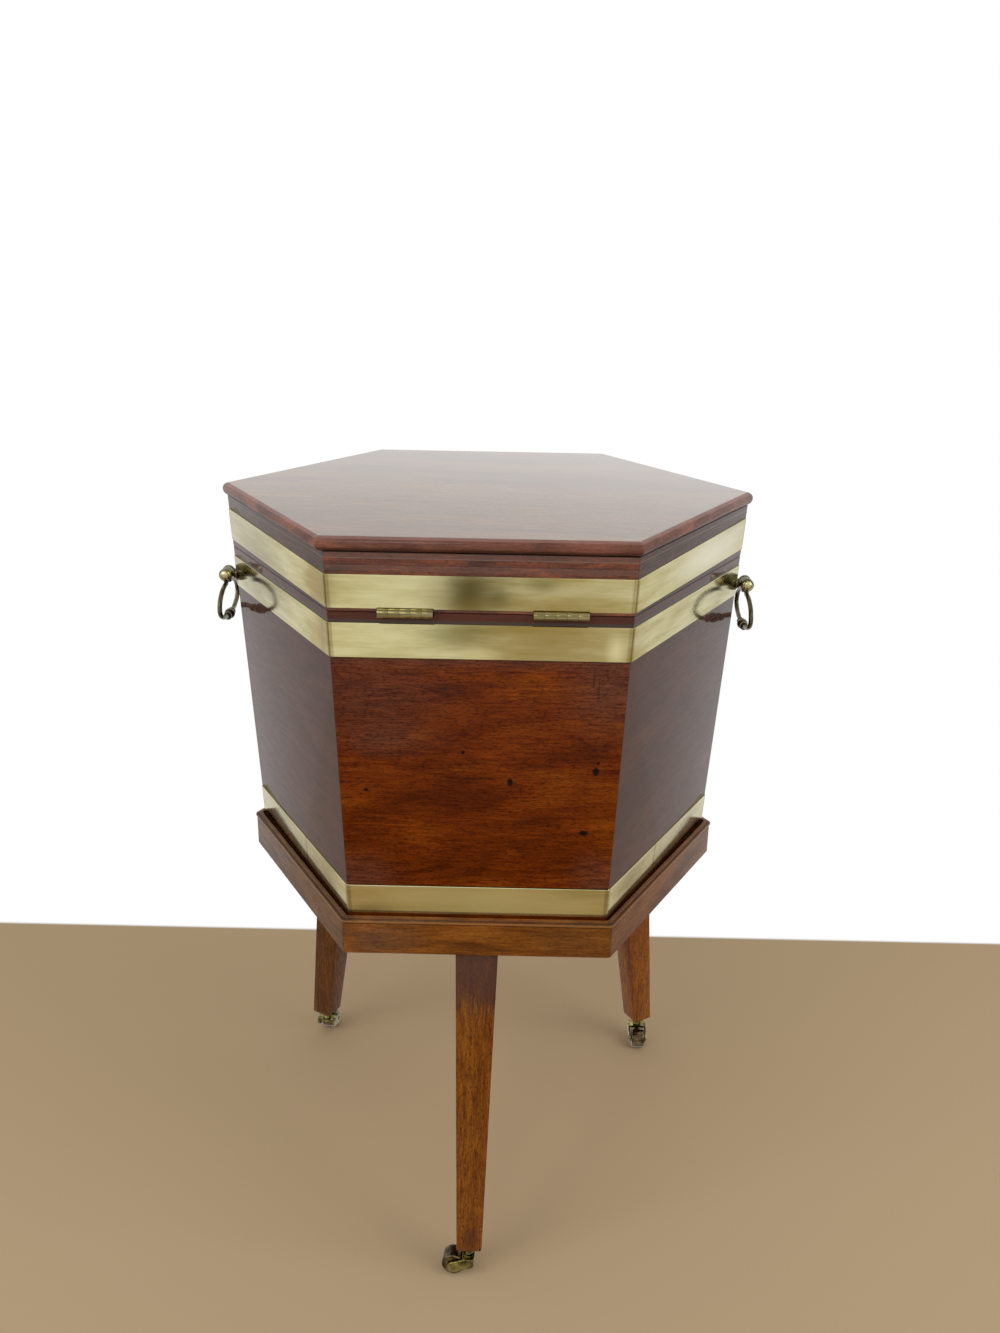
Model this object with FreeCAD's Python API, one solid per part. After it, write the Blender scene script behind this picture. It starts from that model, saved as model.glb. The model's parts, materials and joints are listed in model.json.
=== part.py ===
import FreeCAD, Part
import math
import os
from FreeCAD import Placement, Rotation, Vector

# A six-sided, brass-bound cellarette: a bottle case with a hinged lid, standing inside the
# moulded rim of a six-rail stand on three splayed legs with brass casters.
# Millimetres, +Z up. The origin is on the floor under the middle of the bounding box. The
# hinges are on the -Y side and the lock on the +Y side. The six corners stand at 0, 60, 120 ...
# degrees about the case's own axis, and side k lies between corner k and corner k + 1.

SIDE_NAMES = ("front_right", "front", "front_left", "back_left", "back", "back_right")
FRONT, BACK = 1, 4
COS30 = math.cos(math.radians(30))

# ---- driving dimensions: the whole ----
total_height = 680.0
case_axis_y = 11.88         # the case's axis, off the origin because the back leg reaches further
board_radius = 240.0        # lid board, axis to corner
side_radius = 236.0         # sides just under the lid board, axis to corner
side_taper = 0.06           # loss of corner radius per millimetre down
board_thickness = 11.5
board_corner_reach = 3.4    # how much further left than a true hexagon its back left corner lies
board_edge_round = 5.4
board_low = total_height - board_thickness
joint_height = 621.0        # where lid and case part
joint_gap = 0.4
wall_thickness = 13.0

# ---- brass bands, as heights of their lower and upper edges ----
band_thickness = 0.8
lid_band_back = (623.9, 650.8)      # lies lower on the hinge side, and climbs along its neighbours
lid_band_elsewhere = (627.6, 656.0)
upper_band = (584.0, 612.3)
lower_band = (352.0, 379.2)

# ---- case, liner and bottle partitions ----
case_low = 340.0
case_bottom_thickness = 12.0
liner_thickness = 1.5
liner_top = 613.0
partition_thickness = 6.0
partition_height = 190.0
partition_end_gap = 0.5

# ---- stand ----
rail_low = 316.7
rail_face = 195.6           # axis to the flat outer face of a rail
rail_inner = 150.0
rim_inner = 190.4           # inner wall of the rim that holds the case
bead_low = 346.2
bead_radius = 1.6
rim_step = 194.2            # foot of the rim's large round
rim_top = 350.9

# ---- legs ----
leg_names = ("back", "right", "left")
leg_angles = (270.0, 30.0, 150.0)           # where they leave the stand, and how they are turned
foot_angles = (269.25, 33.9, 146.5)         # where they stand
leg_top_radius = 174.8
foot_radius = 221.0
leg_top_width = 36.2
foot_width = 22.4
leg_low = 28.2
leg_edge_chamfer = 0.9
foot_edge_round = 6.5
tenon_width, tenon_depth, tenon_height = 24.0, 16.0, 15.0

# ---- hinges ----
hinge_centres_x = (-57.2, 61.2)
hinge_length = 42.4
knuckle_count = 5
knuckle_gap = 0.2
barrel_radius = 3.5
barrel_clearance = 0.4
hinge_pin_radius = 1.5
running_clearance = 0.06
leaf_thickness = 1.6
leaf_width = 17.0
leaf_screw_pitch = 13.25
hinge_out = 2.0             # barrel centre, out from the back face at the joint

# ---- screws ----
screw_radius = 1.1
screw_head_radius = 2.2
screw_head_height = 1.2
screw_length = 10.0
stand_screw_radius = 2.0
stand_screw_head_radius = 4.0
stand_screw_length = 30.1
stand_screw_offset = 45.0   # from the middle of a rail
stand_screw_apothem = 164.0

# ---- lock ----
lock_y = 194.1              # middle plane of the lock, inside the front wall
lock_width, lock_depth, lock_height = 46.0, 9.0, 30.0
selvedge_width, selvedge_thickness = 60.0, 2.0
channel_half_width = 21.5
channel_low, channel_high = 611.2, 615.8
channel_depth = 4.6
bolt_start, bolt_length = 2.6, 17.8
bolt_height, bolt_depth = 4.0, 4.0
key_chamber_half_width = 7.0
key_chamber_low = 592.0
staple_thickness, staple_width, staple_low = 2.0, 6.4, 608.5
staple_eye_low, staple_eye_high, staple_eye_width = 610.8, 616.2, 4.6
staple_slot_clearance = 0.7
link_plate_length, link_plate_width, link_plate_thickness = 44.0, 8.6, 1.6
link_plate_screw_x = 15.8
keyhole_height = 600.0
keyhole_radius = 2.4
keyhole_slot_width, keyhole_slot_length = 2.2, 7.5
escutcheon_half_width, escutcheon_half_height, escutcheon_thickness = 7.5, 12.0, 1.0

# ---- drop handles on the left and right corners ----
handle_x = 240.4            # pivot, from the case's axis
handle_height = 595.0
handle_shank_radius, handle_shank_start = 2.5, 218.0
handle_collar_radius, handle_collar_start, handle_collar_end = 5.4, 230.0, 233.6
handle_neck_radius = 3.6
handle_head_radius, handle_head_half_length = 5.6, 3.9
handle_pin_radius = 1.8
eye_radius, eye_start, eye_end = 6.0, 4.3, 8.6
pin_dome_radius, pin_dome_start, pin_dome_height = 4.8, 8.9, 2.7
bail_wire_radius = 2.1
bail_half_width = 36.0
bail_widest_drop = 26.0
bail_drop = 39.0
bail_arm_start_y, bail_arm_start_drop = 6.4, 8.3
eye_web_radius = 2.15
knob_half_length, knob_radius = 5.8, 4.9
knob_neck_radius = 2.8
knob_ring_radius, knob_ring_start, knob_ring_end = 3.7, 7.2, 8.5
knob_taper_end = 11.5

# ---- casters ----
caster_directions = (175.0, 270.0, 80.0)    # which way each one trails
caster_trail = 14.0
roller_radius, roller_half_width, roller_round = 10.5, 7.4, 1.8
axle_radius = 1.6
axle_head_radius, axle_head_thickness = 2.6, 0.7
stem_radius = 3.0
stem_ring_radius, stem_ring_low = 4.3, 20.9
stem_shank_radius, stem_shank_length = 2.5, 18.0
stem_head_radius, stem_head_low, stem_head_high = 4.4, 15.7, 17.1
crown_low, crown_high = 17.4, 20.7
crown_half_length = 5.5
cheek_inner, cheek_outer = 8.0, 10.2
cheek_radius = 5.2


def cylinder(radius, length, base, direction):
    return Part.makeCylinder(radius, length, base, direction)


def box_between(low, high):
    size = high - low
    return Part.makeBox(size.x, size.y, size.z, low)


def corner_radius(z):
    """Axis to corner of the tapered wooden sides at height z."""
    return side_radius - side_taper * (board_low - z)


def corner_point(k, radius, z):
    angle = math.radians(60 * k)
    return Vector(radius * math.cos(angle), radius * math.sin(angle), z)


def hexagon(radius, z):
    points = [corner_point(k, radius, z) for k in range(6)]
    return Part.makePolygon(points + points[:1])


def hexagonal_block(z_low, z_high, outside):
    """Solid hexagon between two heights; outside is how far its sides lie from the wooden sides."""
    wires = [hexagon(corner_radius(z) + outside / COS30, z) for z in (z_low, z_high)]
    return Part.makeLoft(wires, True, True)


def side_board(k, low, high, outside, thickness):
    """Flat board on side k, mitred at both corners.

    low and high give its edge heights at corner k and at corner k + 1.
    """
    def point(end, offset, heights):
        z = heights[end]
        return corner_point(k + end, corner_radius(z) + offset / COS30, z)

    inside = outside - thickness
    outer_low = [point(end, outside, low) for end in (0, 1)]
    outer_high = [point(end, outside, high) for end in (0, 1)]
    inner_low = [point(end, inside, low) for end in (0, 1)]
    inner_high = [point(end, inside, high) for end in (0, 1)]
    loops = [
        [outer_low[0], outer_low[1], outer_high[1], outer_high[0]],
        [inner_low[1], inner_low[0], inner_high[0], inner_high[1]],
    ]
    for end in (0, 1):
        loops.append([outer_low[end], outer_high[end], inner_high[end], inner_low[end]])
    for outer, inner in ((outer_low, inner_low), (outer_high, inner_high)):
        loops.append([outer[0], outer[1], inner[1]])
        loops.append([outer[0], inner[1], inner[0]])
    faces = [Part.Face(Part.makePolygon(loop + loop[:1])) for loop in loops]
    solid = Part.makeSolid(Part.makeShell(faces))
    if solid.Volume < 0:
        solid.reverse()
    return solid.removeSplitter()


def level_board(k, z_low, z_high, outside, thickness):
    return side_board(k, (z_low, z_low), (z_high, z_high), outside, thickness)


def side_middle(k):
    """Outward unit vector of side k."""
    angle = math.radians(60 * k + 30)
    return Vector(math.cos(angle), math.sin(angle), 0)


def countersunk_screw(point, direction, radius, head_radius, length):
    """Screw whose flat head lies at point, and whose shank runs along direction."""
    head = Part.makeCone(head_radius, radius, screw_head_height, point, direction)
    return head.fuse(cylinder(radius, length, point, direction)).removeSplitter()


def brass_screw(point, direction):
    return countersunk_screw(point, direction, screw_radius, screw_head_radius, screw_length)


# ---- hinges ----
hinge_y = -(corner_radius(joint_height) * COS30 + hinge_out)
leaf_heights = {
    "lid": (joint_height + joint_gap / 2, joint_height + joint_gap / 2 + leaf_thickness),
    "case": (joint_height - joint_gap / 2 - leaf_thickness, joint_height - joint_gap / 2),
}


def knuckle_spans(x_middle, owner):
    """Stretches of the barrel that belong to the case leaf (even) or the lid leaf (odd)."""
    pitch = hinge_length / knuckle_count
    first = 0 if owner == "case" else 1
    spans = []
    for n in range(first, knuckle_count, 2):
        start = x_middle - hinge_length / 2 + n * pitch
        spans.append((start + knuckle_gap / 2, start + pitch - knuckle_gap / 2))
    return spans


def leaf_plate(x_middle, owner):
    z_low, z_high = leaf_heights[owner]
    near = hinge_y + barrel_radius + barrel_clearance
    return box_between(Vector(x_middle - hinge_length / 2, near, z_low),
                       Vector(x_middle + hinge_length / 2, hinge_y + leaf_width, z_high))


def leaf_mortise(x_middle, owner):
    """Room cut in the edge of the wood for the leaf and for the roots of its knuckles."""
    z_low, z_high = leaf_heights[owner]
    return box_between(Vector(x_middle - hinge_length / 2, hinge_y, z_low),
                       Vector(x_middle + hinge_length / 2, hinge_y + leaf_width, z_high))


def leaf_screw_points(x_middle, owner):
    z = leaf_heights[owner][0] if owner == "lid" else leaf_heights[owner][1]
    y = hinge_y + (barrel_radius + leaf_width) / 2
    return [Vector(x_middle + step * leaf_screw_pitch, y, z) for step in (-1, 0, 1)]


def leaf_screws(owner):
    direction = Vector(0, 0, 1 if owner == "lid" else -1)
    points = [p for x in hinge_centres_x for p in leaf_screw_points(x, owner)]
    return [brass_screw(p, direction) for p in points]


def hinge_leaf(x_middle, owner):
    leaf = leaf_plate(x_middle, owner)
    z_low, z_high = leaf_heights[owner]
    for start, end in knuckle_spans(x_middle, owner):
        barrel = cylinder(barrel_radius, end - start, Vector(start, hinge_y, joint_height), Vector(1, 0, 0))
        root = box_between(Vector(start, hinge_y, z_low),
                           Vector(end, hinge_y + barrel_radius + barrel_clearance, z_high))
        leaf = leaf.fuse([barrel, root])
    bore = hinge_pin_radius + (running_clearance if owner == "lid" else 0)
    leaf = leaf.cut(cylinder(bore, hinge_length, Vector(x_middle - hinge_length / 2, hinge_y, joint_height),
                             Vector(1, 0, 0)))
    return leaf.cut(leaf_screws(owner)).removeSplitter()


def hinge_pin(x_middle):
    start = Vector(x_middle - hinge_length / 2, hinge_y, joint_height)
    return cylinder(hinge_pin_radius, hinge_length, start, Vector(1, 0, 0))


def barrel_space(x_middle):
    """Room that the wood and the band leave round a hinge barrel."""
    return cylinder(barrel_radius + barrel_clearance, hinge_length + 2 * barrel_clearance,
                    Vector(x_middle - hinge_length / 2 - barrel_clearance, hinge_y, joint_height),
                    Vector(1, 0, 0))


# ---- lock ----
rim_height = joint_height - joint_gap / 2
lid_low = joint_height + joint_gap / 2


def lock_body():
    """Outer form of the mortised lock, with the selvedge that shows in the rim."""
    body = box_between(Vector(-lock_width / 2, lock_y - lock_depth / 2, rim_height - lock_height),
                       Vector(lock_width / 2, lock_y + lock_depth / 2, rim_height))
    selvedge_low = rim_height - selvedge_thickness
    selvedge = box_between(Vector(-selvedge_width / 2, lock_y - lock_depth / 2, selvedge_low),
                           Vector(selvedge_width / 2, lock_y + lock_depth / 2, rim_height))
    return body.fuse(selvedge).removeSplitter()


def keyhole():
    """Round hole with a slot under it, run through everything in front of the key chamber."""
    front = corner_radius(keyhole_height) * COS30 + 10
    start = Vector(0, lock_y, keyhole_height)
    round_hole = cylinder(keyhole_radius, front - lock_y, start, Vector(0, 1, 0))
    slot = box_between(Vector(-keyhole_slot_width / 2, lock_y, keyhole_height - keyhole_slot_length),
                       Vector(keyhole_slot_width / 2, front, keyhole_height))
    return round_hole.fuse(slot)


def selvedge_screws():
    points = [Vector(sign * (lock_width + selvedge_width) / 4, lock_y, rim_height) for sign in (-1, 1)]
    return [brass_screw(p, Vector(0, 0, -1)) for p in points]


def link_plate_screws():
    points = [Vector(sign * link_plate_screw_x, lock_y, lid_low) for sign in (-1, 1)]
    return [brass_screw(p, Vector(0, 0, 1)) for p in points]


def lock_case():
    channel = box_between(Vector(-channel_half_width, lock_y - channel_depth / 2, channel_low),
                          Vector(channel_half_width, lock_y + channel_depth / 2, channel_high))
    well_half_x = staple_thickness / 2 + staple_slot_clearance
    well_half_y = staple_width / 2 + staple_slot_clearance
    well = box_between(Vector(-well_half_x, lock_y - well_half_y, staple_low - staple_slot_clearance),
                       Vector(well_half_x, lock_y + well_half_y, rim_height))
    chamber = box_between(Vector(-key_chamber_half_width, lock_y - channel_depth / 2, key_chamber_low),
                          Vector(key_chamber_half_width, lock_y + channel_depth / 2, channel_low))
    return lock_body().cut([channel, well, chamber, keyhole()] + selvedge_screws()).removeSplitter()


def lock_bolt():
    z_low = (channel_low + channel_high - bolt_height) / 2
    return box_between(Vector(bolt_start, lock_y - bolt_depth / 2, z_low),
                       Vector(bolt_start + bolt_length, lock_y + bolt_depth / 2, z_low + bolt_height))


def link_plate_block():
    half_x, half_y = link_plate_length / 2, link_plate_width / 2
    return box_between(Vector(-half_x, lock_y - half_y, lid_low),
                       Vector(half_x, lock_y + half_y, lid_low + link_plate_thickness))


def link_plate():
    """Plate let into the lid, with the staple that the bolt shoots through."""
    staple = box_between(Vector(-staple_thickness / 2, lock_y - staple_width / 2, staple_low),
                         Vector(staple_thickness / 2, lock_y + staple_width / 2, lid_low))
    eye = box_between(Vector(-staple_thickness, lock_y - staple_eye_width / 2, staple_eye_low),
                      Vector(staple_thickness, lock_y + staple_eye_width / 2, staple_eye_high))
    return link_plate_block().fuse(staple).cut([eye] + link_plate_screws()).removeSplitter()


def escutcheon():
    """Oval keyhole plate lying on the band, which leans out with the side."""
    lean = math.degrees(math.atan(side_taper * COS30))
    blank = Part.Face(Part.Wire(Part.Ellipse(Vector(0, 0, 0), escutcheon_half_height,
                                             escutcheon_half_width).toShape()))
    plate = blank.extrude(Vector(0, 0, escutcheon_thickness))
    plate.rotate(Vector(0, 0, 0), Vector(0, 0, 1), 90)
    plate.rotate(Vector(0, 0, 0), Vector(1, 0, 0), -90 - lean)
    outside = corner_radius(keyhole_height) * COS30 + band_thickness
    plate.translate(Vector(0, outside, keyhole_height))
    return plate.cut(keyhole())


# ---- lid ----
def lid_board():
    points = [corner_point(k, board_radius, board_low) for k in range(6)]
    points[BACK] += Vector(-board_corner_reach, 0, 0)
    board = Part.Face(Part.makePolygon(points + points[:1])).extrude(Vector(0, 0, board_thickness))
    level_edges = [e for e in board.Edges if abs(e.BoundBox.ZLength) < 0.01]
    return board.makeFillet(board_edge_round, level_edges)


def lid_rail(k):
    rail = level_board(k, lid_low, board_low, 0, wall_thickness)
    if k == BACK:
        for x in hinge_centres_x:
            rail = rail.cut([barrel_space(x), leaf_mortise(x, "lid")])
        rail = rail.cut(leaf_screws("lid"))
    if k == FRONT:
        rail = rail.cut([link_plate_block()] + link_plate_screws())
    return rail


def band_ring(low, high, sides):
    """Strip of brass round the given sides; low and high give its edges at each corner."""
    strips = [side_board(k, (low(k), low(k + 1)), (high(k), high(k + 1)), band_thickness, band_thickness)
              for k in sides]
    ring = strips[0].fuse(strips[1:]) if len(strips) > 1 else strips[0]
    return ring.removeSplitter()


def level_ring(edges):
    return band_ring(lambda k: edges[0], lambda k: edges[1], range(6))


def lid_band():
    def edge(which):
        return lambda k: lid_band_back[which] if k % 6 in (BACK, BACK + 1) else lid_band_elsewhere[which]

    ring = band_ring(edge(0), edge(1), range(6))
    return ring.cut([barrel_space(x) for x in hinge_centres_x])


# ---- case ----
def case_wall(k):
    wall = level_board(k, case_low, rim_height, 0, wall_thickness)
    if k == BACK:
        for x in hinge_centres_x:
            wall = wall.cut([barrel_space(x), leaf_mortise(x, "case")])
        wall = wall.cut(leaf_screws("case"))
    if k == FRONT:
        wall = wall.cut([lock_body(), keyhole()] + selvedge_screws())
    for sign, corner in ((1, 0), (-1, 3)):
        if corner in (k, (k + 1) % 6):
            wall = wall.cut(handle_shank(sign))
    return wall


def case_bottom():
    board = hexagonal_block(case_low, case_low + case_bottom_thickness, -wall_thickness)
    return board.cut(stand_screws())


def case_upper_band():
    return level_ring(upper_band).cut([keyhole(), handle_shank(1), handle_shank(-1)])


def case_lower_band():
    """Two strips that meet half way along the sides next to the hinge side."""
    ring = level_ring(lower_band)
    split_y = -corner_radius(lower_band[1]) * COS30 / 2
    reach = 2 * board_radius
    behind = box_between(Vector(-reach, -reach, 0), Vector(reach, split_y, total_height))
    return Part.makeCompound([ring.common(behind), ring.cut(behind)])


def liner():
    floor = case_low + case_bottom_thickness
    outer = hexagonal_block(floor, liner_top, -wall_thickness)
    inner = hexagonal_block(floor + liner_thickness, liner_top, -wall_thickness - liner_thickness)
    return outer.cut(inner)


def partition_slab(n, z_low, z_high):
    """Upright board through the axis, running to the middles of two opposite sides."""
    def half_length(z):
        return corner_radius(z) * COS30 - wall_thickness - liner_thickness - partition_end_gap

    points = [Vector(s * half_length(z), -partition_thickness / 2, z)
              for s, z in ((-1, z_low), (1, z_low), (1, z_high), (-1, z_high))]
    slab = Part.Face(Part.makePolygon(points + points[:1])).extrude(Vector(0, partition_thickness, 0))
    slab.rotate(Vector(0, 0, 0), Vector(0, 0, 1), 30 + 60 * n)
    return slab


def partition(n):
    """One of three boards halved into each other: each keeps one third of its height at the axis."""
    low = case_low + case_bottom_thickness + liner_thickness
    third = partition_height / 3
    board = partition_slab(n, low, low + partition_height)
    others = [m for m in range(3) if m != n]
    for level in range(3):
        if level != n:
            z = low + level * third
            board = board.cut([partition_slab(m, z, z + third) for m in others])
    return board


# ---- drop handles ----
def handle_shank(sign):
    return cylinder(handle_shank_radius, handle_collar_end - handle_shank_start,
                    Vector(sign * handle_shank_start, 0, handle_height), Vector(sign, 0, 0))


def handle_post(sign, seats):
    """Screw post through the corner, with a collar bedded on the corner and a bored head."""
    axis = Vector(sign, 0, 0)
    collar = cylinder(handle_collar_radius, handle_collar_end - handle_collar_start,
                      Vector(sign * handle_collar_start, 0, handle_height), axis).cut(seats)
    neck = cylinder(handle_neck_radius, handle_x - handle_collar_end,
                    Vector(sign * handle_collar_end, 0, handle_height), axis)
    head = cylinder(handle_head_radius, 2 * handle_head_half_length,
                    Vector(sign * handle_x, -handle_head_half_length, handle_height), Vector(0, 1, 0))
    post = handle_shank(sign).fuse([collar, neck, head])
    return post.cut(handle_pin_rod(sign, handle_pin_radius)).removeSplitter()


def handle_pin_rod(sign, radius):
    return cylinder(radius, 2 * pin_dome_start, Vector(sign * handle_x, -pin_dome_start, handle_height),
                    Vector(0, 1, 0))


def handle_pin(sign):
    """Pivot pin with a domed head on both ends."""
    pin = handle_pin_rod(sign, handle_pin_radius)
    sphere_radius = (pin_dome_radius ** 2 + pin_dome_height ** 2) / (2 * pin_dome_height)
    for side in (-1, 1):
        base = Vector(sign * handle_x, side * pin_dome_start, handle_height)
        centre = base - Vector(0, side * (sphere_radius - pin_dome_height), 0)
        slug = cylinder(pin_dome_radius, pin_dome_height, base, Vector(0, side, 0))
        pin = pin.fuse(Part.makeSphere(sphere_radius, centre).common(slug))
    return pin.removeSplitter()


def bail_knob():
    """Turned swelling at the bottom of the loop, with a ring and a taper on each side of it."""
    neck_angle = math.asin(knob_neck_radius / knob_radius)
    swelling = Part.ArcOfEllipse(Part.Ellipse(Vector(0, 0, 0), knob_half_length, knob_radius),
                                 neck_angle, math.pi - neck_angle).toShape()
    neck_x = knob_half_length * math.cos(neck_angle)
    right = [Vector(neck_x, knob_neck_radius, 0), Vector(knob_ring_start, knob_neck_radius, 0),
             Vector(knob_ring_start, knob_ring_radius, 0), Vector(knob_ring_end, knob_ring_radius, 0),
             Vector(knob_ring_end, knob_neck_radius, 0), Vector(knob_taper_end, bail_wire_radius, 0),
             Vector(knob_taper_end, 0, 0)]
    left = [Vector(-p.x, p.y, 0) for p in reversed(right)]
    outline = Part.Wire(Part.makePolygon(right + left).Edges + [swelling])
    knob = Part.Face(outline).revolve(Vector(0, 0, 0), Vector(1, 0, 0), 360)
    knob.translate(Vector(0, -bail_drop, 0))
    return knob


def bail(sign):
    """Oval loop with a turned baluster at the bottom, hanging on the pin by two eyes."""
    upright = Rotation(Vector(1, 1, 1), 120)     # turns the drawing plane XY to the plane YZ
    origin = Vector(sign * handle_x, 0, handle_height)

    def elliptic_quarter(centre, half_y, half_z, start):
        curve = Part.Ellipse(centre, half_y, half_z)
        return Part.ArcOfEllipse(curve, math.radians(start), math.radians(start + 90)).toShape()

    widest = Vector(0, -bail_widest_drop, 0)
    upper = elliptic_quarter(widest + Vector(bail_arm_start_y, 0, 0), bail_half_width - bail_arm_start_y,
                             bail_widest_drop - bail_arm_start_drop, 0)
    lower = elliptic_quarter(widest, bail_half_width, bail_drop - bail_widest_drop, 270)
    path = Part.Wire(Part.__sortEdges__([lower, upper]))
    section = Part.Wire(Part.makeCircle(bail_wire_radius, Vector(0, -bail_drop, 0), Vector(1, 0, 0)))
    arm = path.makePipeShell([section], True, False)
    arms = [arm, arm.mirror(Vector(0, 0, 0), Vector(1, 0, 0))]

    eyes = [cylinder(eye_radius, eye_end - eye_start, Vector(side * eye_start, 0, 0), Vector(side, 0, 0))
            for side in (-1, 1)]
    webs = [cylinder(eye_web_radius, bail_arm_start_drop, Vector(side * (eye_start + eye_end) / 2, 0, 0),
                     Vector(0, -1, 0)) for side in (-1, 1)]
    loop = bail_knob().fuse(arms + eyes + webs)
    loop = loop.cut(cylinder(handle_pin_radius + running_clearance, 2 * eye_end, Vector(-eye_end, 0, 0),
                             Vector(1, 0, 0)))
    loop.Placement = Placement(origin, upright)
    return loop


# ---- stand ----
def rail_profile():
    """Section of a rail in the XZ plane, X measured from the case's axis: seat, rim, bead and face."""
    bead_top = bead_low + 2 * bead_radius
    points = {
        "inner_low": Vector(rail_inner, 0, rail_low),
        "face_low": Vector(rail_face, 0, rail_low),
        "bead_low": Vector(rail_face, 0, bead_low),
        "bead_top": Vector(rail_face, 0, bead_top),
        "step": Vector(rim_step, 0, bead_top),
        "rim": Vector(rim_inner, 0, rim_top),
        "seat_outer": Vector(rim_inner, 0, case_low),
        "seat_inner": Vector(rail_inner, 0, case_low),
    }
    bead_middle = Vector(rail_face + 0.6 * bead_radius, 0, bead_low + bead_radius)
    round_middle = Vector(rim_step - 0.22 * (rim_step - rim_inner), 0, bead_top + 0.78 * (rim_top - bead_top))
    lines = [("inner_low", "face_low"), ("face_low", "bead_low"), ("bead_top", "step"), ("rim", "seat_outer"),
             ("seat_outer", "seat_inner"), ("seat_inner", "inner_low")]
    edges = [Part.makeLine(points[a], points[b]) for a, b in lines]
    edges.append(Part.Arc(points["bead_low"], bead_middle, points["bead_top"]).toShape())
    edges.append(Part.Arc(points["step"], round_middle, points["rim"]).toShape())
    return Part.Face(Part.Wire(Part.__sortEdges__(edges)))


def stand_rail(k):
    """Moulded rail on side k, cut to its two mitres."""
    reach = 2 * rail_face
    rail = rail_profile()
    rail.translate(Vector(0, -rail_face, 0))
    rail = rail.extrude(Vector(0, 2 * rail_face, 0))
    rail.rotate(Vector(0, 0, 0), Vector(0, 0, 1), 60 * k + 30)
    sector = Part.makePolygon([Vector(0, 0, 0), corner_point(k, reach, 0), corner_point(k + 1, reach, 0),
                               Vector(0, 0, 0)])
    rail = rail.common(Part.Face(sector).extrude(Vector(0, 0, total_height)))
    tools = [tenon(n) for n in range(3) if abs(leg_angles[n] - (60 * k + 30)) < 1]
    tools += [s for s in stand_screws() if s.common(rail).Volume > 0]
    return rail.cut(tools)


def tenon(n):
    block = box_between(Vector(-tenon_depth / 2, -tenon_width / 2, rail_low),
                        Vector(tenon_depth / 2, tenon_width / 2, rail_low + tenon_height))
    block.translate(Vector(leg_top_radius, 0, 0))
    block.rotate(Vector(0, 0, 0), Vector(0, 0, 1), leg_angles[n])
    return block


def foot_centre(n):
    angle = math.radians(foot_angles[n])
    return Vector(foot_radius * math.cos(angle), foot_radius * math.sin(angle), leg_low)


def leg(n):
    """Square tapered leg, splayed outwards and rounded under the foot, with a stub tenon in its rail."""
    def square(width, centre):
        points = [Vector(x * width / 2, y * width / 2, 0) for x, y in ((1, 1), (-1, 1), (-1, -1), (1, -1))]
        wire = Part.makePolygon(points + points[:1])
        wire.rotate(Vector(0, 0, 0), Vector(0, 0, 1), leg_angles[n])
        wire.translate(centre)
        return wire

    angle = math.radians(leg_angles[n])
    top = Vector(leg_top_radius * math.cos(angle), leg_top_radius * math.sin(angle), rail_low)
    shaft = Part.makeLoft([square(foot_width, foot_centre(n)), square(leg_top_width, top)], True, True)
    foot_edges = [e for e in shaft.Edges if e.BoundBox.ZMax < leg_low + 0.01]
    shaft = shaft.makeFillet(foot_edge_round, foot_edges)
    long_edges = [e for e in shaft.Edges if e.BoundBox.ZLength > leg_top_width]
    shaft = shaft.makeChamfer(leg_edge_chamfer, long_edges)
    return shaft.fuse(tenon(n)).cut(stem_shank(n)).removeSplitter()


def stand_screws():
    """Screws up through the rails that carry no leg, into the case bottom."""
    screws = []
    for k in range(6):
        if any(abs(angle - (60 * k + 30)) < 1 for angle in leg_angles):
            continue
        out = side_middle(k)
        along = Vector(-out.y, out.x, 0)
        for step in (-1, 1):
            point = out * stand_screw_apothem + along * (step * stand_screw_offset) + Vector(0, 0, rail_low)
            screws.append(countersunk_screw(point, Vector(0, 0, 1), stand_screw_radius,
                                            stand_screw_head_radius, stand_screw_length))
    return screws


# ---- casters ----
def in_caster_place(shape, n):
    """Turn a shape drawn trailing along +X to its own direction, and move it under foot n."""
    shape.rotate(Vector(0, 0, 0), Vector(0, 0, 1), caster_directions[n])
    foot = foot_centre(n)
    shape.translate(Vector(foot.x, foot.y, 0))
    return shape


def stem_shank(n):
    foot = foot_centre(n)
    return cylinder(stem_shank_radius, stem_shank_length, foot, Vector(0, 0, 1))


def caster_stem(n):
    """Swivel pin riveted under the crown, with a flared neck above it and a screw up into the leg."""
    up = Vector(0, 0, 1)
    foot = foot_centre(n)
    ring = Vector(foot.x, foot.y, stem_ring_low)
    neck = Part.makeCone(stem_ring_radius, stem_radius, leg_low - stem_ring_low, ring, up)
    tip = Vector(foot.x, foot.y, stem_head_low)
    pin = cylinder(stem_radius, leg_low - stem_head_low, tip, up)
    head = cylinder(stem_head_radius, stem_head_high - stem_head_low, tip, up)
    return neck.fuse([pin, head, stem_shank(n)]).removeSplitter()


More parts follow.
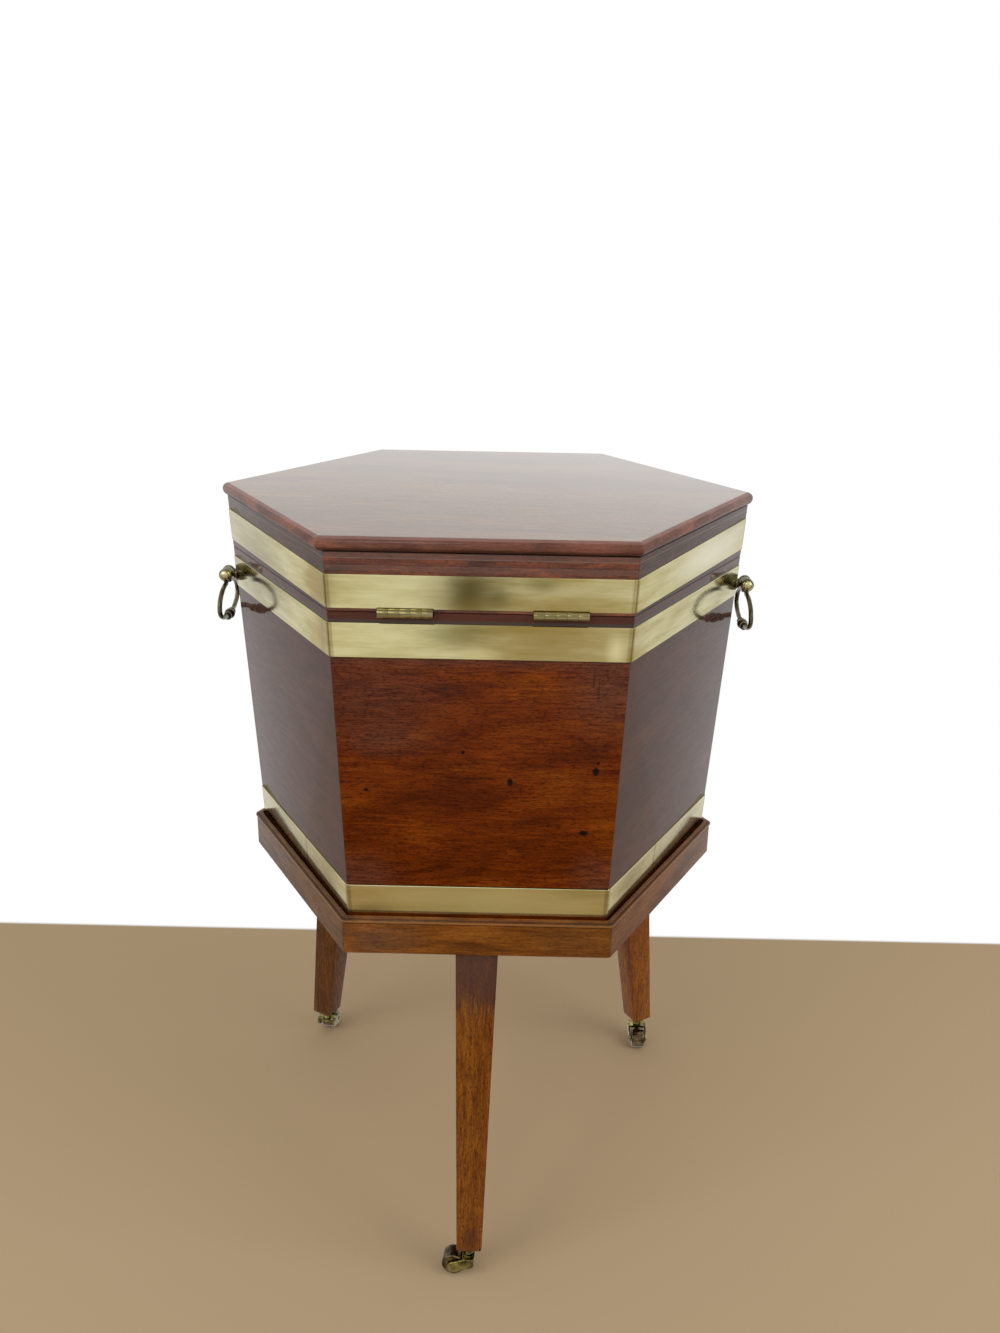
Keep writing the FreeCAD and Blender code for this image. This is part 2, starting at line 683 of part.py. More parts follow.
def caster_fork(n):
    """Crown that turns on the swivel pin, with two leaf-shaped cheeks down to the axle."""
    crown = box_between(Vector(-crown_half_length, -cheek_outer, crown_low),
                        Vector(crown_half_length, cheek_outer, crown_high))
    upright = [e for e in crown.Edges if e.BoundBox.ZLength > 1]
    crown = crown.makeFillet(crown_half_length * 0.6, upright)
    cheeks = []
    for side in (-1, 1):
        y = side * cheek_inner
        direction = Vector(0, side, 0)
        thickness = cheek_outer - cheek_inner
        axle_end = Vector(caster_trail, y, roller_radius)
        root_end = Vector(0, y, crown_high - cheek_radius)
        along = axle_end - root_end
        normal = Vector(-along.z, 0, along.x).normalize() * cheek_radius
        web = Part.Face(Part.makePolygon([root_end + normal, axle_end + normal, axle_end - normal,
                                          root_end - normal, root_end + normal]))
        web = web.extrude(direction * thickness)
        ends = [cylinder(cheek_radius, thickness, p, direction) for p in (axle_end, root_end)]
        cheeks.append(web.fuse(ends))
    fork = crown.fuse(cheeks)
    swivel_bore = cylinder(stem_radius + running_clearance, 2 * crown_high, Vector(0, 0, 0), Vector(0, 0, 1))
    axle_bore = cylinder(axle_radius, 2 * cheek_outer, Vector(caster_trail, -cheek_outer, roller_radius),
                         Vector(0, 1, 0))
    return in_caster_place(fork.cut([swivel_bore, axle_bore]).removeSplitter(), n)


def caster_axle(n):
    across = Vector(0, 1, 0)
    start = Vector(caster_trail, -cheek_outer, roller_radius)
    axle = cylinder(axle_radius, 2 * cheek_outer, start, across)
    heads = [cylinder(axle_head_radius, axle_head_thickness, start - across * axle_head_thickness, across),
             cylinder(axle_head_radius, axle_head_thickness, start + across * (2 * cheek_outer), across)]
    return in_caster_place(axle.fuse(heads).removeSplitter(), n)


def caster_roller(n):
    across = Vector(0, 1, 0)
    start = Vector(caster_trail, -roller_half_width, roller_radius)
    roller = cylinder(roller_radius, 2 * roller_half_width, start, across)
    rims = [e for e in roller.Edges if e.Closed]
    roller = roller.makeFillet(roller_round, rims)
    bore = cylinder(axle_radius + running_clearance, 2 * roller_half_width, start, across)
    return in_caster_place(roller.cut(bore), n)


# ---- all sub-parts ----
def build_nodes():
    nodes = {"lid_board": lid_board(), "lid_band": lid_band(), "link_plate": link_plate()}
    for k, name in enumerate(SIDE_NAMES):
        nodes["lid_rail_" + name] = lid_rail(k)
        nodes["case_wall_" + name] = case_wall(k)
        nodes["stand_rail_" + name] = stand_rail(k)
    nodes["case_bottom"] = case_bottom()
    nodes["upper_band"] = case_upper_band()
    nodes["lower_band"] = case_lower_band()
    nodes["liner"] = liner()
    for n in range(3):
        nodes["bottle_partition_%d" % (n + 1)] = partition(n)
    for x, side in zip(hinge_centres_x, ("left", "right")):
        nodes["hinge_leaf_lid_" + side] = hinge_leaf(x, "lid")
        nodes["hinge_leaf_case_" + side] = hinge_leaf(x, "case")
    nodes["hinge_pins"] = Part.makeCompound([hinge_pin(x) for x in hinge_centres_x])
    nodes["lid_screws"] = Part.makeCompound(leaf_screws("lid") + link_plate_screws())
    nodes["case_screws"] = Part.makeCompound(leaf_screws("case") + selvedge_screws())
    nodes["stand_screws"] = Part.makeCompound(stand_screws())
    nodes["lock_case"] = lock_case()
    nodes["lock_bolt"] = lock_bolt()
    nodes["escutcheon"] = escutcheon()
    corner_seats = [nodes["upper_band"]] + [level_board(k, case_low, rim_height, 0, wall_thickness)
                                            for k in range(6) if k != FRONT and k != BACK]
    for sign, side in ((-1, "left"), (1, "right")):
        nodes["handle_post_" + side] = handle_post(sign, corner_seats)
        nodes["handle_bail_" + side] = bail(sign)
    nodes["handle_pins"] = Part.makeCompound([handle_pin(-1), handle_pin(1)])
    for n, name in enumerate(leg_names):
        nodes["leg_" + name] = leg(n)
        nodes["caster_stem_" + name] = caster_stem(n)
        nodes["caster_fork_" + name] = caster_fork(n)
        nodes["caster_axle_" + name] = caster_axle(n)
        nodes["caster_roller_" + name] = caster_roller(n)
    for shape in nodes.values():
        shape.translate(Vector(0, case_axis_y, 0))
    return nodes


os.makedirs("parts", exist_ok=True)
for node_name, node_shape in build_nodes().items():
    node_shape.exportStep("parts/%s.step" % node_name)
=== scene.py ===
import json
import math

import bmesh
import bpy
from mathutils import Matrix, Vector

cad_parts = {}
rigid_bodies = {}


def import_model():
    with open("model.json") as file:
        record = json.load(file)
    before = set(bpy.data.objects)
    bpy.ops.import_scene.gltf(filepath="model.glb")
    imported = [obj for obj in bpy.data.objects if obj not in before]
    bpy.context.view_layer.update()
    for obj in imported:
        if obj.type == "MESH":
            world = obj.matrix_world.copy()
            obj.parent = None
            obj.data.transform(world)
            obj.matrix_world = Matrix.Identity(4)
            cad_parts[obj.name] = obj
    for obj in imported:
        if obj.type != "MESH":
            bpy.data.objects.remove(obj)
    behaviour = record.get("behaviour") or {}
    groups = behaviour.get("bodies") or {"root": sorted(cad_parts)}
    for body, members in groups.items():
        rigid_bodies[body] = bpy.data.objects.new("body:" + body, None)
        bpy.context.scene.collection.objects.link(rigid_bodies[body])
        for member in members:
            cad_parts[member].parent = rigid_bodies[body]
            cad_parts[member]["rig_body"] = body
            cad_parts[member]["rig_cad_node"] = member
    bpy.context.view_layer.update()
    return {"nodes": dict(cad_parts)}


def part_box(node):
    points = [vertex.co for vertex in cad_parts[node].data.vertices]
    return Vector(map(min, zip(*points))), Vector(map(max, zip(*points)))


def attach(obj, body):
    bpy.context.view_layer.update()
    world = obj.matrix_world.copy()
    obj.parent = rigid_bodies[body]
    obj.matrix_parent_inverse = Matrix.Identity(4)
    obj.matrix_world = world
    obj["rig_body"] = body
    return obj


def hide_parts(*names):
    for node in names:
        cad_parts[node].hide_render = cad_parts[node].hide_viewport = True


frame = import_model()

# ---- The stand's rails ----------------------------------------------------------------------
# Six rails of solid mahogany, mitred and glued into a hexagon. Each is run with a bead and a
# rounded rim that the case drops into, and its lower edges are rubbed from being picked up.

COS30 = math.cos(math.radians(30))
SIDES = ("front_right", "front", "front_left", "back_left", "back", "back_right")
axis_y = sum(corner.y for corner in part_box("case_bottom")) / 2
axis = Vector((0, axis_y, 0))


def pick(kind, test):
    """Selects the parts of the mesh being edited that pass test: "VERT", "EDGE" or "FACE"."""
    bpy.ops.mesh.select_mode(type=kind)
    bpy.ops.mesh.select_all(action="DESELECT")
    mesh = bpy.context.edit_object.data
    shape = bmesh.from_edit_mesh(mesh)
    for part in {"VERT": shape.verts, "EDGE": shape.edges, "FACE": shape.faces}[kind]:
        part.select_set(bool(test(part)))
    bmesh.update_edit_mesh(mesh)


def raised(name, sides, outline, place=axis, turn=0.0, solid=True):
    """Shape drawn up from a polygon: outline lists the (radius, height) that it passes through.

    A solid one is closed by flat ends, and any other one runs back to where it began.
    """
    bpy.ops.object.select_all(action="DESELECT")
    radius, height = outline[0]
    bpy.ops.mesh.primitive_circle_add(vertices=sides, radius=radius, rotation=(0, 0, turn),
                                      location=place + Vector((0, 0, height)),
                                      fill_type="NGON" if solid else "NOTHING")
    piece = bpy.context.object
    piece.name = piece.data.name = name
    bpy.ops.object.transform_apply()
    bpy.ops.object.mode_set(mode="EDIT")
    bpy.ops.mesh.select_all(action="SELECT")
    for radius_to, height_to in outline[1:] + ([] if solid else outline[:1]):
        bpy.ops.mesh.extrude_region_move(
            TRANSFORM_OT_translate={"value": (0, 0, height_to - height)})
        scale = radius_to / radius
        bpy.ops.transform.resize(value=(scale, scale, 1),
                                 center_override=place + Vector((0, 0, height_to)))
        radius, height = radius_to, height_to
    bpy.ops.mesh.select_all(action="SELECT")
    bpy.ops.mesh.remove_doubles(threshold=2e-6)
    face_outwards()
    return piece


def hexagonal(name, section, solid=False):
    """Six-sided shape round the case's axis. section gives the flat sides' distances and heights."""
    outline = [(distance / COS30, height) for distance, height in section]
    return raised(name, 6, outline, turn=math.radians(30), solid=solid)


def arc(middle, radii, start, end, steps):
    """Points along part of an ellipse, between two angles in degrees."""
    turns = [math.radians(start + (end - start) * step / steps) for step in range(steps + 1)]
    return [(middle[0] + radii[0] * math.cos(turn), middle[1] + radii[1] * math.sin(turn))
            for turn in turns]


def round_corners(piece, width, above=0.0):
    """Rounds the edges that run up the six outside corners of a piece."""
    bpy.ops.object.mode_set(mode="EDIT")

    def runs_up(edge):
        a, b = (Vector((v.co.x, v.co.y - axis_y)) for v in edge.verts)
        outside = a.length > above and b.length > above
        return outside and abs(a.cross(b)) < 1e-6 * a.length and a.dot(b) > 0

    pick("EDGE", runs_up)
    bpy.ops.mesh.bevel(offset=width, segments=3)
    bpy.ops.object.mode_set(mode="OBJECT")


def take_up(piece):
    """Selects a piece, and nothing else, to work on it."""
    bpy.ops.object.select_all(action="DESELECT")
    piece.select_set(True)
    bpy.context.view_layer.objects.active = piece


def finish_edges(piece, width, angle=40, segments=2):
    """Takes the sharpness off a piece's hard edges and smooths what is left between them."""
    take_up(piece)
    if width:
        bevel = piece.modifiers.new("edges", "BEVEL")
        bevel.width, bevel.segments, bevel.angle_limit = width, segments, math.radians(angle)
        bpy.ops.object.modifier_apply(modifier=bevel.name)
    bpy.ops.object.shade_smooth_by_angle(angle=math.radians(angle))
    return piece


def face_outwards():
    """Turns all the faces of the mesh being edited outwards, and ends the editing."""
    bpy.ops.mesh.select_all(action="SELECT")
    bpy.ops.mesh.normals_make_consistent(inside=False)
    bpy.ops.object.mode_set(mode="OBJECT")


def copied(piece, name, move=Matrix.Identity(4)):
    """Another of the same piece, with a mesh of its own that has been moved."""
    twin = piece.copy()
    twin.data = piece.data.copy()
    twin.name = twin.data.name = name
    bpy.context.scene.collection.objects.link(twin)
    twin.data.transform(move)
    return twin


def six_boards(ring, names, joint):
    """Cuts a ring at the mitres into six boards, each short of its joints by a hair."""
    take_up(ring)
    bpy.ops.object.mode_set(mode="EDIT")
    for corner, side in ((0, 1), (1, -1)):
        angle = math.radians(60 * corner)
        into = Vector((-math.sin(angle), math.cos(angle), 0)) * side
        bpy.ops.mesh.select_all(action="SELECT")
        bpy.ops.mesh.bisect(plane_co=axis + into * joint, plane_no=into, use_fill=True,
                            clear_inner=True)
    face_outwards()
    boards = []
    for k, name in enumerate(names):
        turned = Matrix.Translation(axis) @ Matrix.Rotation(math.radians(60 * k), 4, "Z")
        boards.append(copied(ring, name, turned @ Matrix.Translation(-axis)))
    bpy.data.objects.remove(ring)
    return boards


def linear(colour):
    """Linear values of an sRGB hex colour."""
    values = [int(colour[i:i + 2], 16) / 255 for i in (1, 3, 5)]
    return [v / 12.92 if v <= 0.04045 else ((v + 0.055) / 1.055) ** 2.4 for v in values] + [1.0]


def grey(value):
    return (value, value, value, 1.0)


def add(material, kind, inputs=(), stops=(), **settings):
    """Adds a node to a material. inputs holds its sockets' values or links, stops a ramp's colours."""
    tree = material.node_tree
    made = tree.nodes.new("ShaderNode" + kind)
    for name, value in settings.items():
        setattr(made, name, value)
    for socket, value in dict(inputs).items():
        if isinstance(value, bpy.types.NodeSocket):
            tree.links.new(value, made.inputs[socket])
        else:
            made.inputs[socket].default_value = value
    for n, (place, colour) in enumerate(stops):
        ramp = made.color_ramp
        mark = ramp.elements[n] if n < 2 else ramp.elements.new(place)
        mark.position, mark.color = place, colour
    return made


def new_material(name):
    material = bpy.data.materials.new(name)
    material.use_nodes = True
    material.node_tree.nodes.clear()
    return material


def dress(piece, body, slot, material, *nodes):
    """Gives a piece its material and its body, and hides the CAD nodes it stands for; slot is not used."""
    piece.data.materials.clear()
    piece.data.materials.append(material)
    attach(piece, body)
    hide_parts(*nodes)


# French-polished Cuban mahogany, planed, stained and rubbed up with shellac: a red-brown ground
# with darker ribbons, short dark pores along the grain, and a thin clear gloss over all. Real
# pores are about 0.2 mm wide, and they are drawn some four times as coarse so that they show.
RIBBON, STREAK, PORE = (0.07, 0.03, 0.018), (0.02, 0.003, 0.0016), (0.0036, 0.001, 0.0008)


def mottled(m, place, size, detail=3.0, roughness=0.55, turn=(0, 0, 0), shift=(0, 0, 0), waver=0.0):
    """Mottling of wood or metal, of a size in metres along three turned axes."""
    laid = add(m, "Mapping", {"Vector": place, "Location": shift, "Rotation": turn, "Scale": size},
               vector_type="TEXTURE")
    return add(m, "TexNoise", {"Vector": laid.outputs[0], "Scale": 1.0, "Detail": detail,
                               "Roughness": roughness, "Distortion": waver}).outputs[0]


def stains_and_painted_light(m, place, colour, marks, ragged, edge=0.55):
    """Colour with stains and with painted light and shade: marks are (centre, radii, strength, shade), and
    edge is where they fade.
    """
    for centre, radii, strength, shade in marks:
        near = add(m, "Mapping", {"Vector": place, "Location": centre, "Scale": radii},
                   vector_type="TEXTURE")
        away = add(m, "VectorMath", {0: near.outputs[0]}, operation="LENGTH")
        wavy = add(m, "Math", {0: ragged, 1: 0.5, 2: away.outputs["Value"]}, operation="MULTIPLY_ADD")
        spot = add(m, "MapRange", {0: wavy.outputs[0], 1: 0.25 + edge, 2: 1.4, 3: strength, 4: 0.0},
                   interpolation_type="SMOOTHSTEP")
        colour = add(m, "Mix", {0: spot.outputs[0], 6: colour, 7: linear(shade)},
                     data_type="RGBA").outputs[2]
    return colour


def mahogany(name, tones, turn=(0, 0, 0), shift=(0, 0, 0), marks=(), blooms=(), lines=(), figure=0.0,
             ribbon=RIBBON, grain=1.0, coat=0.9, film=1.5, gloss=0.04, sheen=0.05):
    """Polished mahogany. tones are its dark, middle and light colours, and turn its grain's direction.

    figure tilts its ribbons and film is the polish's refractive index. marks are stains and dents,
    blooms are soft stains and painted sheen, and lines that run round the piece are (height,
    half width, strength, shade), for joints and for painted shade and highlights.
    """
    m = new_material(name)
    place = add(m, "TexCoord").outputs["Object"]
    ribbon = mottled(m, place, ribbon, 4.0, 0.55, (turn[0], turn[1] + figure, turn[2]), shift, 0.6)
    streak = mottled(m, place, STREAK, 4.0, 0.6, turn, shift, 0.2)
    pore = mottled(m, place, PORE, 2.0, 0.5, turn, shift)
    colour = add(m, "ValToRGB", {0: ribbon}, stops=[(0.34, linear(tones[0])), (0.66, linear(tones[2])),
                                                    (0.5, linear(tones[1]))]).outputs[0]
    colour = stains_and_painted_light(m, place, colour, blooms, ribbon, edge=0.0)
    fine = add(m, "ValToRGB", {0: streak}, stops=[(0.32, (0.5, 0.42, 0.4, 1.0)),
                                                  (0.68, (1.4, 1.55, 1.3, 1.0))]).outputs[0]
    fleck = add(m, "ValToRGB", {0: pore}, stops=[(0.36, grey(0.3)), (0.5, grey(1.0))]).outputs[0]
    for share, shade in ((0.8 * grain, fine), (0.75 * grain, fleck)):
        colour = add(m, "Mix", {0: share, 6: colour, 7: shade}, data_type="RGBA",
                     blend_type="MULTIPLY").outputs[2]
    colour = stains_and_painted_light(m, place, colour, marks, streak)
    if lines:
        height = add(m, "SeparateXYZ", {0: place}).outputs[2]
        for level, half, strength, shade in lines:
            off = add(m, "Math", {0: height, 1: level}, operation="SUBTRACT")
            off = add(m, "Math", {0: off.outputs[0]}, operation="ABSOLUTE")
            band = add(m, "MapRange", {0: off.outputs[0], 1: half - 0.0002, 2: half + 0.0001,
                                       3: strength, 4: 0.0})
            colour = add(m, "Mix", {0: band.outputs[0], 6: colour, 7: linear(shade)},
                         data_type="RGBA").outputs[2]
    # the wood is dull under the polish, which follows it in long shallow waves
    dull = add(m, "MapRange", {0: streak, 1: 0.3, 2: 0.7, 3: 0.6, 4: 0.45}).outputs[0]
    wave = mottled(m, place, (0.06, 0.03, 0.03), 1.0, 0.4, turn, shift)
    sunk = add(m, "Bump", {"Strength": 0.4, "Distance": 0.0001, "Height": pore}).outputs[0]
    smooth = add(m, "Bump", {"Strength": 0.25, "Distance": 0.0004, "Height": wave}).outputs[0]
    shader = add(m, "BsdfPrincipled", {"Base Color": colour, "Roughness": dull, "Specular IOR Level": sheen,
                                       "Coat Weight": coat, "Coat Roughness": gloss, "Coat IOR": film,
                                       "Normal": sunk, "Coat Normal": smooth})
    add(m, "OutputMaterial", {"Surface": shader.outputs[0]})
    return m


def grain_along(k):
    """Direction of a grain that runs level along side k."""
    return (0, 0, math.radians(60 * k + 120))


rail_low, rail_face, rail_inner, rail_edge = 0.3167, 0.1956, 0.150, 0.0008
bead_low, bead_radius = 0.3462, 0.0016
rim_step, rim_inner, rim_top, seat = 0.1942, 0.1904, 0.3509, 0.3400
bead_top = bead_low + 2 * bead_radius
rim_fall, rail_corner, rail_gap = 0.0006, 0.0022, 0.00007
section = [(rail_inner, rail_low), (rail_face - rail_edge, rail_low),
           (rail_face, rail_low + rail_edge)]
section += arc((rail_face, bead_low + bead_radius), (0.6 * bead_radius, bead_radius), -90, 90, 8)
section += arc((rim_inner + rail_edge, bead_top),
               (rim_step - rim_inner - rail_edge, rim_top - bead_top), 0, 90, 7)
section += [(rim_inner, rim_top - rim_fall), (rim_inner, seat), (rail_inner, seat)]
rails = hexagonal("stand_rails", section)
round_corners(rails, rail_corner, above=rim_inner)
# the two rails beside the hinges get darker tones than the others: painted shade on those sides
shaded_side_rail_tones = {"back_left": ("#4d2c10", "#64401e", "#744c28"),
              "back_right": ("#542d0e", "#6e4016", "#7e4b20")}
# the back rail's face is paler and greyish towards the left and darker towards the right
rubbed = {"back": [((-0.085, -0.16, 0.332), (0.05, 0.1, 0.03), 0.4, "#6f5344"),
                   ((0.088, -0.16, 0.332), (0.05, 0.1, 0.03), 0.4, "#4c3420")]}
# painted light on every rail: a dark line on the rim's top is painted shade under the band, a pale line
# along the bead is a painted highlight, and dark lines in the grooves either side of the bead are painted
# shade
rail_painted_shade_and_highlight = [((bead_top + rim_top) / 2, 0.0008, 0.2, "#3a2412"),
         (bead_low + bead_radius, 0.0009, 0.5, "#a0703c"),
         (bead_low - 0.0001, 0.0004, 0.9, "#211007"), (bead_top, 0.0004, 0.6, "#2b170c")]
for k, rail in enumerate(six_boards(rails, ["rail_" + side for side in SIDES], rail_gap)):
    tones = shaded_side_rail_tones.get(SIDES[k], ("#5c3008", "#7a430c", "#8c5118"))
    wood = mahogany("polished_mahogany_rail_%d" % k, tones, grain_along(k), (0.3 * k, 0.1, 0.05 * k),
                    blooms=rubbed.get(SIDES[k], ()), lines=rail_painted_shade_and_highlight, grain=0.7, coat=0.36)
    finish_edges(rail, 0)
    dress(rail, "case", "mahogany_stand", wood, "stand_rail_" + SIDES[k])

# ---- The legs -------------------------------------------------------------------------------
# Three square legs of the same mahogany, tapered and splayed, stub-tenoned up into the rails of
# every second side. The feet are rounded over where they stand on the casters.

LEGS = ("back", "right", "left")
leg_turns, foot_turns = (270.0, 30.0, 150.0), (269.25, 33.9, 146.5)
leg_top_radius, foot_radius = 0.1748, 0.2210
leg_top_width, foot_width, leg_low = 0.0362, 0.0224, 0.0282
foot_round, arris = 0.0065, 0.0009


def around(angle, radius, height):
    """Point at an angle in degrees, a distance and a height about the case's axis."""
    turn = math.radians(angle)
    return axis + Vector((radius * math.cos(turn), radius * math.sin(turn), height))


feet = [around(turn, foot_radius, 0) for turn in foot_turns]
leg_tones = (("#673307", "#7c430d", "#8c5116"), ("#7c4210", "#925216", "#a4631f"),
             ("#512a06", "#643808", "#72420c"))
for n, name in enumerate(LEGS):
    top = around(leg_turns[n], leg_top_radius, rail_low)
    foot = feet[n] + Vector((0, 0, leg_low))
    bpy.ops.object.select_all(action="DESELECT")
    bpy.ops.mesh.primitive_cube_add(size=leg_top_width,
                                    location=top - Vector((0, 0, leg_top_width / 2)),
                                    rotation=(0, 0, math.radians(leg_turns[n])))
    leg = bpy.context.object
    leg.name = leg.data.name = "square_leg_" + name
    bpy.ops.object.transform_apply()
    bpy.ops.object.mode_set(mode="EDIT")
    pick("VERT", lambda v: v.co.z < rail_low - 0.001)
    low = top - Vector((0, 0, leg_top_width))
    narrower = foot_width / leg_top_width
    bpy.ops.transform.resize(value=(narrower, narrower, 1), center_override=low)
    bpy.ops.transform.translate(value=foot - low)
    pick("EDGE", lambda e: abs(e.verts[0].co.z - e.verts[1].co.z) < 1e-6 and e.verts[0].co.z < 0.1)
    bpy.ops.mesh.bevel(offset=foot_round, segments=6)
    pick("EDGE", lambda e: abs(e.verts[0].co.z - e.verts[1].co.z) > 0.2)
    bpy.ops.mesh.bevel(offset=arris, segments=2)
    bpy.ops.object.mode_set(mode="OBJECT")
    finish_edges(leg, 0, angle=50)
    # the top of each leg is darkened as painted shade under the stand's rails; the back leg also has a dark
    # stain near its foot
    worn = [(top, (0.1, 0.1, 0.060), 0.75, "#3f2a26")]
    if name == "back":
        worn.append((foot + Vector((0.0005, -0.011, 0.0175)), (0.008, 0.02, 0.011), 0.45, "#3c1c10"))
    wood = mahogany("polished_mahogany_leg_%d" % n, leg_tones[n],
                    (0, math.radians(-90), 0), (0.2 * n, 0.31 * n, 0.0), marks=worn,
                    ribbon=(0.16, 0.02, 0.014), coat=0.35 if name == "back" else 0.2)
    dress(leg, "case", "mahogany_stand", wood, "leg_" + name)

# ---- The casters ----------------------------------------------------------------------------
# Cast and turned brass, lacquer long gone: a flared neck riveted under a crown with rounded
# corners, which turns, and two leaf-shaped cheeks that hold a brass roller on a riveted axle.


def brass(name, colours, roughness, marks=(), blotch=(0.008, 0.008, 0.008), scratch=(0.004, 0.001, 0.004),
          bends=None):
    """Brass sheet or casting. colours are tarnished, worn and bright, and marks are stains and painted
    highlights and reflections.

    bends is the distance from the axis, at the floor's height, where a strip bent round the case turns.
    """
    # old polish left to tarnish: a warm yellow with browner clouds and a soft gloss, under rubbed
    # lines that are finer than a hair in truth and drawn as coarse as they need to show
    m = new_material(name)
    place = add(m, "TexCoord").outputs["Object"]
    cloud = mottled(m, place, blotch, 4.0, 0.6)
    line = mottled(m, place, scratch, 3.0, 0.6)
    colour = add(m, "ValToRGB", {0: cloud}, stops=[(0.32, linear(colours[0])), (0.66, linear(colours[2])),
                                                   (0.49, linear(colours[1]))]).outputs[0]
    rubbed = add(m, "ValToRGB", {0: line}, stops=[(0.3, grey(0.9)), (0.65, grey(1.03))]).outputs[0]
    colour = add(m, "Mix", {0: 1.0, 6: colour, 7: rubbed}, data_type="RGBA",
                 blend_type="MULTIPLY").outputs[2]
    colour = stains_and_painted_light(m, place, colour, marks, cloud, edge=0.0)
    if bends:
        # the brass is darkened along the bends: painted shade that stands for the darker reflection at the
        # corners
        level = add(m, "Mapping", {"Vector": place, "Location": axis, "Scale": (1, 1, 1e6)},
                    vector_type="TEXTURE")
        radius = add(m, "VectorMath", {0: level.outputs[0]}, operation="LENGTH").outputs["Value"]
        height = add(m, "SeparateXYZ", {0: place}).outputs[2]
        beyond = add(m, "Math", {0: height, 1: -taper, 2: radius}, operation="MULTIPLY_ADD").outputs[0]
        bent = add(m, "MapRange", {0: beyond, 1: bends - 0.0011, 2: bends - 0.0004, 4: 0.4})
        colour = add(m, "Mix", {0: bent.outputs[0], 6: colour, 7: linear("#6d5c30")},
                     data_type="RGBA").outputs[2]
    low, high = roughness
    rough = add(m, "MapRange", {0: line, 1: 0.3, 2: 0.7, 3: high, 4: low}).outputs[0]
    relief = add(m, "Bump", {"Strength": 0.15, "Distance": 0.00005, "Height": cloud}).outputs[0]
    shader = add(m, "BsdfPrincipled", {"Base Color": colour, "Metallic": 1.0, "Roughness": rough,
                                       "Normal": relief})
    add(m, "OutputMaterial", {"Surface": shader.outputs[0]})
    return m


caster_directions = (175.0, 270.0, 80.0)
caster_trail = 0.0140
roller_radius, roller_half, axle_radius, axle_bore = 0.0105, 0.0074, 0.0016, 0.00166
roller_round = 0.0018
crown_low, crown_high, crown_half = 0.0174, 0.0207, 0.0055
cheek_inner, cheek_outer, cheek_radius = 0.0080, 0.0102, 0.0052
inset_width, inset_depth, cast_edge = 0.0009, 0.0004, 0.0005
antique_brass = brass("cast_brass_antique", ("#3f3a1c", "#7a7040", "#aaa066"), (0.16, 0.28))
roller_brass = brass("turned_brass_roller", ("#2e2719", "#544632", "#8a7654"), (0.14, 0.26))

origin = Vector((0, 0, 0))
lying = Matrix.Rotation(math.radians(90), 4, "X")
stem_outline = [(0.0030, 0.0171), (0.0030, 0.0209), (0.0043, 0.0210), (0.0043, 0.0216), (0.0037, 0.0226),
                (0.0032, 0.0244), (0.0030, leg_low + 0.0002)]
head_outline = [(0.0030, 0.0157), (0.0040, 0.0158), (0.0044, 0.0162), (0.0044, 0.0171)]
rounded = [(axle_bore, -roller_half), (roller_radius - 0.0030, -roller_half),
           (roller_radius - roller_round, -roller_half + 0.0002)]
rounded += arc((roller_radius - roller_round, -roller_half + roller_round),
               (roller_round, roller_round), -75, 0, 5)
roller_outline = rounded + [(radius, -height) for radius, height in reversed(rounded)]
rivet_outline = [(axle_radius, -cheek_outer), (0.0026, -cheek_outer), (0.0026, -cheek_outer - 0.0003),
                 (0.0021, -cheek_outer - 0.0006), (0.0012, -cheek_outer - 0.0007)]
axle_outline = list(reversed(rivet_outline)) + [(radius, -height) for radius, height in rivet_outline]


def fork():
    """Crown and cheeks of a caster that trails along +X, with the swivel on the Z axis."""
    bpy.ops.object.select_all(action="DESELECT")
    bpy.ops.mesh.primitive_cube_add(size=1, location=(0, 0, (crown_low + crown_high) / 2),
                                    scale=(2 * crown_half, 2 * cheek_outer, crown_high - crown_low))
    crown = bpy.context.object
    bpy.ops.object.transform_apply()
    bpy.ops.object.mode_set(mode="EDIT")
    pick("EDGE", lambda e: abs(e.verts[0].co.z - e.verts[1].co.z) > 0.002)
    bpy.ops.mesh.bevel(offset=0.6 * crown_half, segments=8)
    pick("FACE", lambda f: abs(f.normal.z) > 0.9 and f.calc_center_median().z > crown_low + 0.001)
    bpy.ops.mesh.inset(thickness=inset_width)
    bpy.ops.transform.translate(value=(0, 0, -inset_depth))
    bpy.ops.object.mode_set(mode="OBJECT")
    parts = [crown]
    root, axle = Vector((0, 0, crown_high - cheek_radius)), Vector((caster_trail, 0, roller_radius))
    along = (root - axle).normalized()
    for side in (-1, 1):
        bpy.ops.object.select_all(action="DESELECT")
        bpy.ops.mesh.primitive_circle_add(vertices=40, radius=cheek_radius, fill_type="NGON",
                                          location=axle + Vector((0, side * cheek_inner, 0)),
                                          rotation=(math.radians(90), 0, 0))
        cheek = bpy.context.object
        bpy.ops.object.transform_apply()
        bpy.ops.object.mode_set(mode="EDIT")
        pick("VERT", lambda v: (v.co - axle).dot(along) > 1e-5)
        bpy.ops.transform.translate(value=root - axle)
        bpy.ops.mesh.select_all(action="SELECT")
        bpy.ops.mesh.extrude_region_move(
            TRANSFORM_OT_translate={"value": (0, side * (cheek_outer - cheek_inner), 0)})
        face_outwards()
        parts.append(cheek)
    return joined("fork", parts)


def joined(name, parts):
    """One object made of several."""
    take_up(parts[0])
    for part in parts:
        part.select_set(True)
    bpy.ops.object.join()
    parts[0].name = parts[0].data.name = name
    return parts[0]


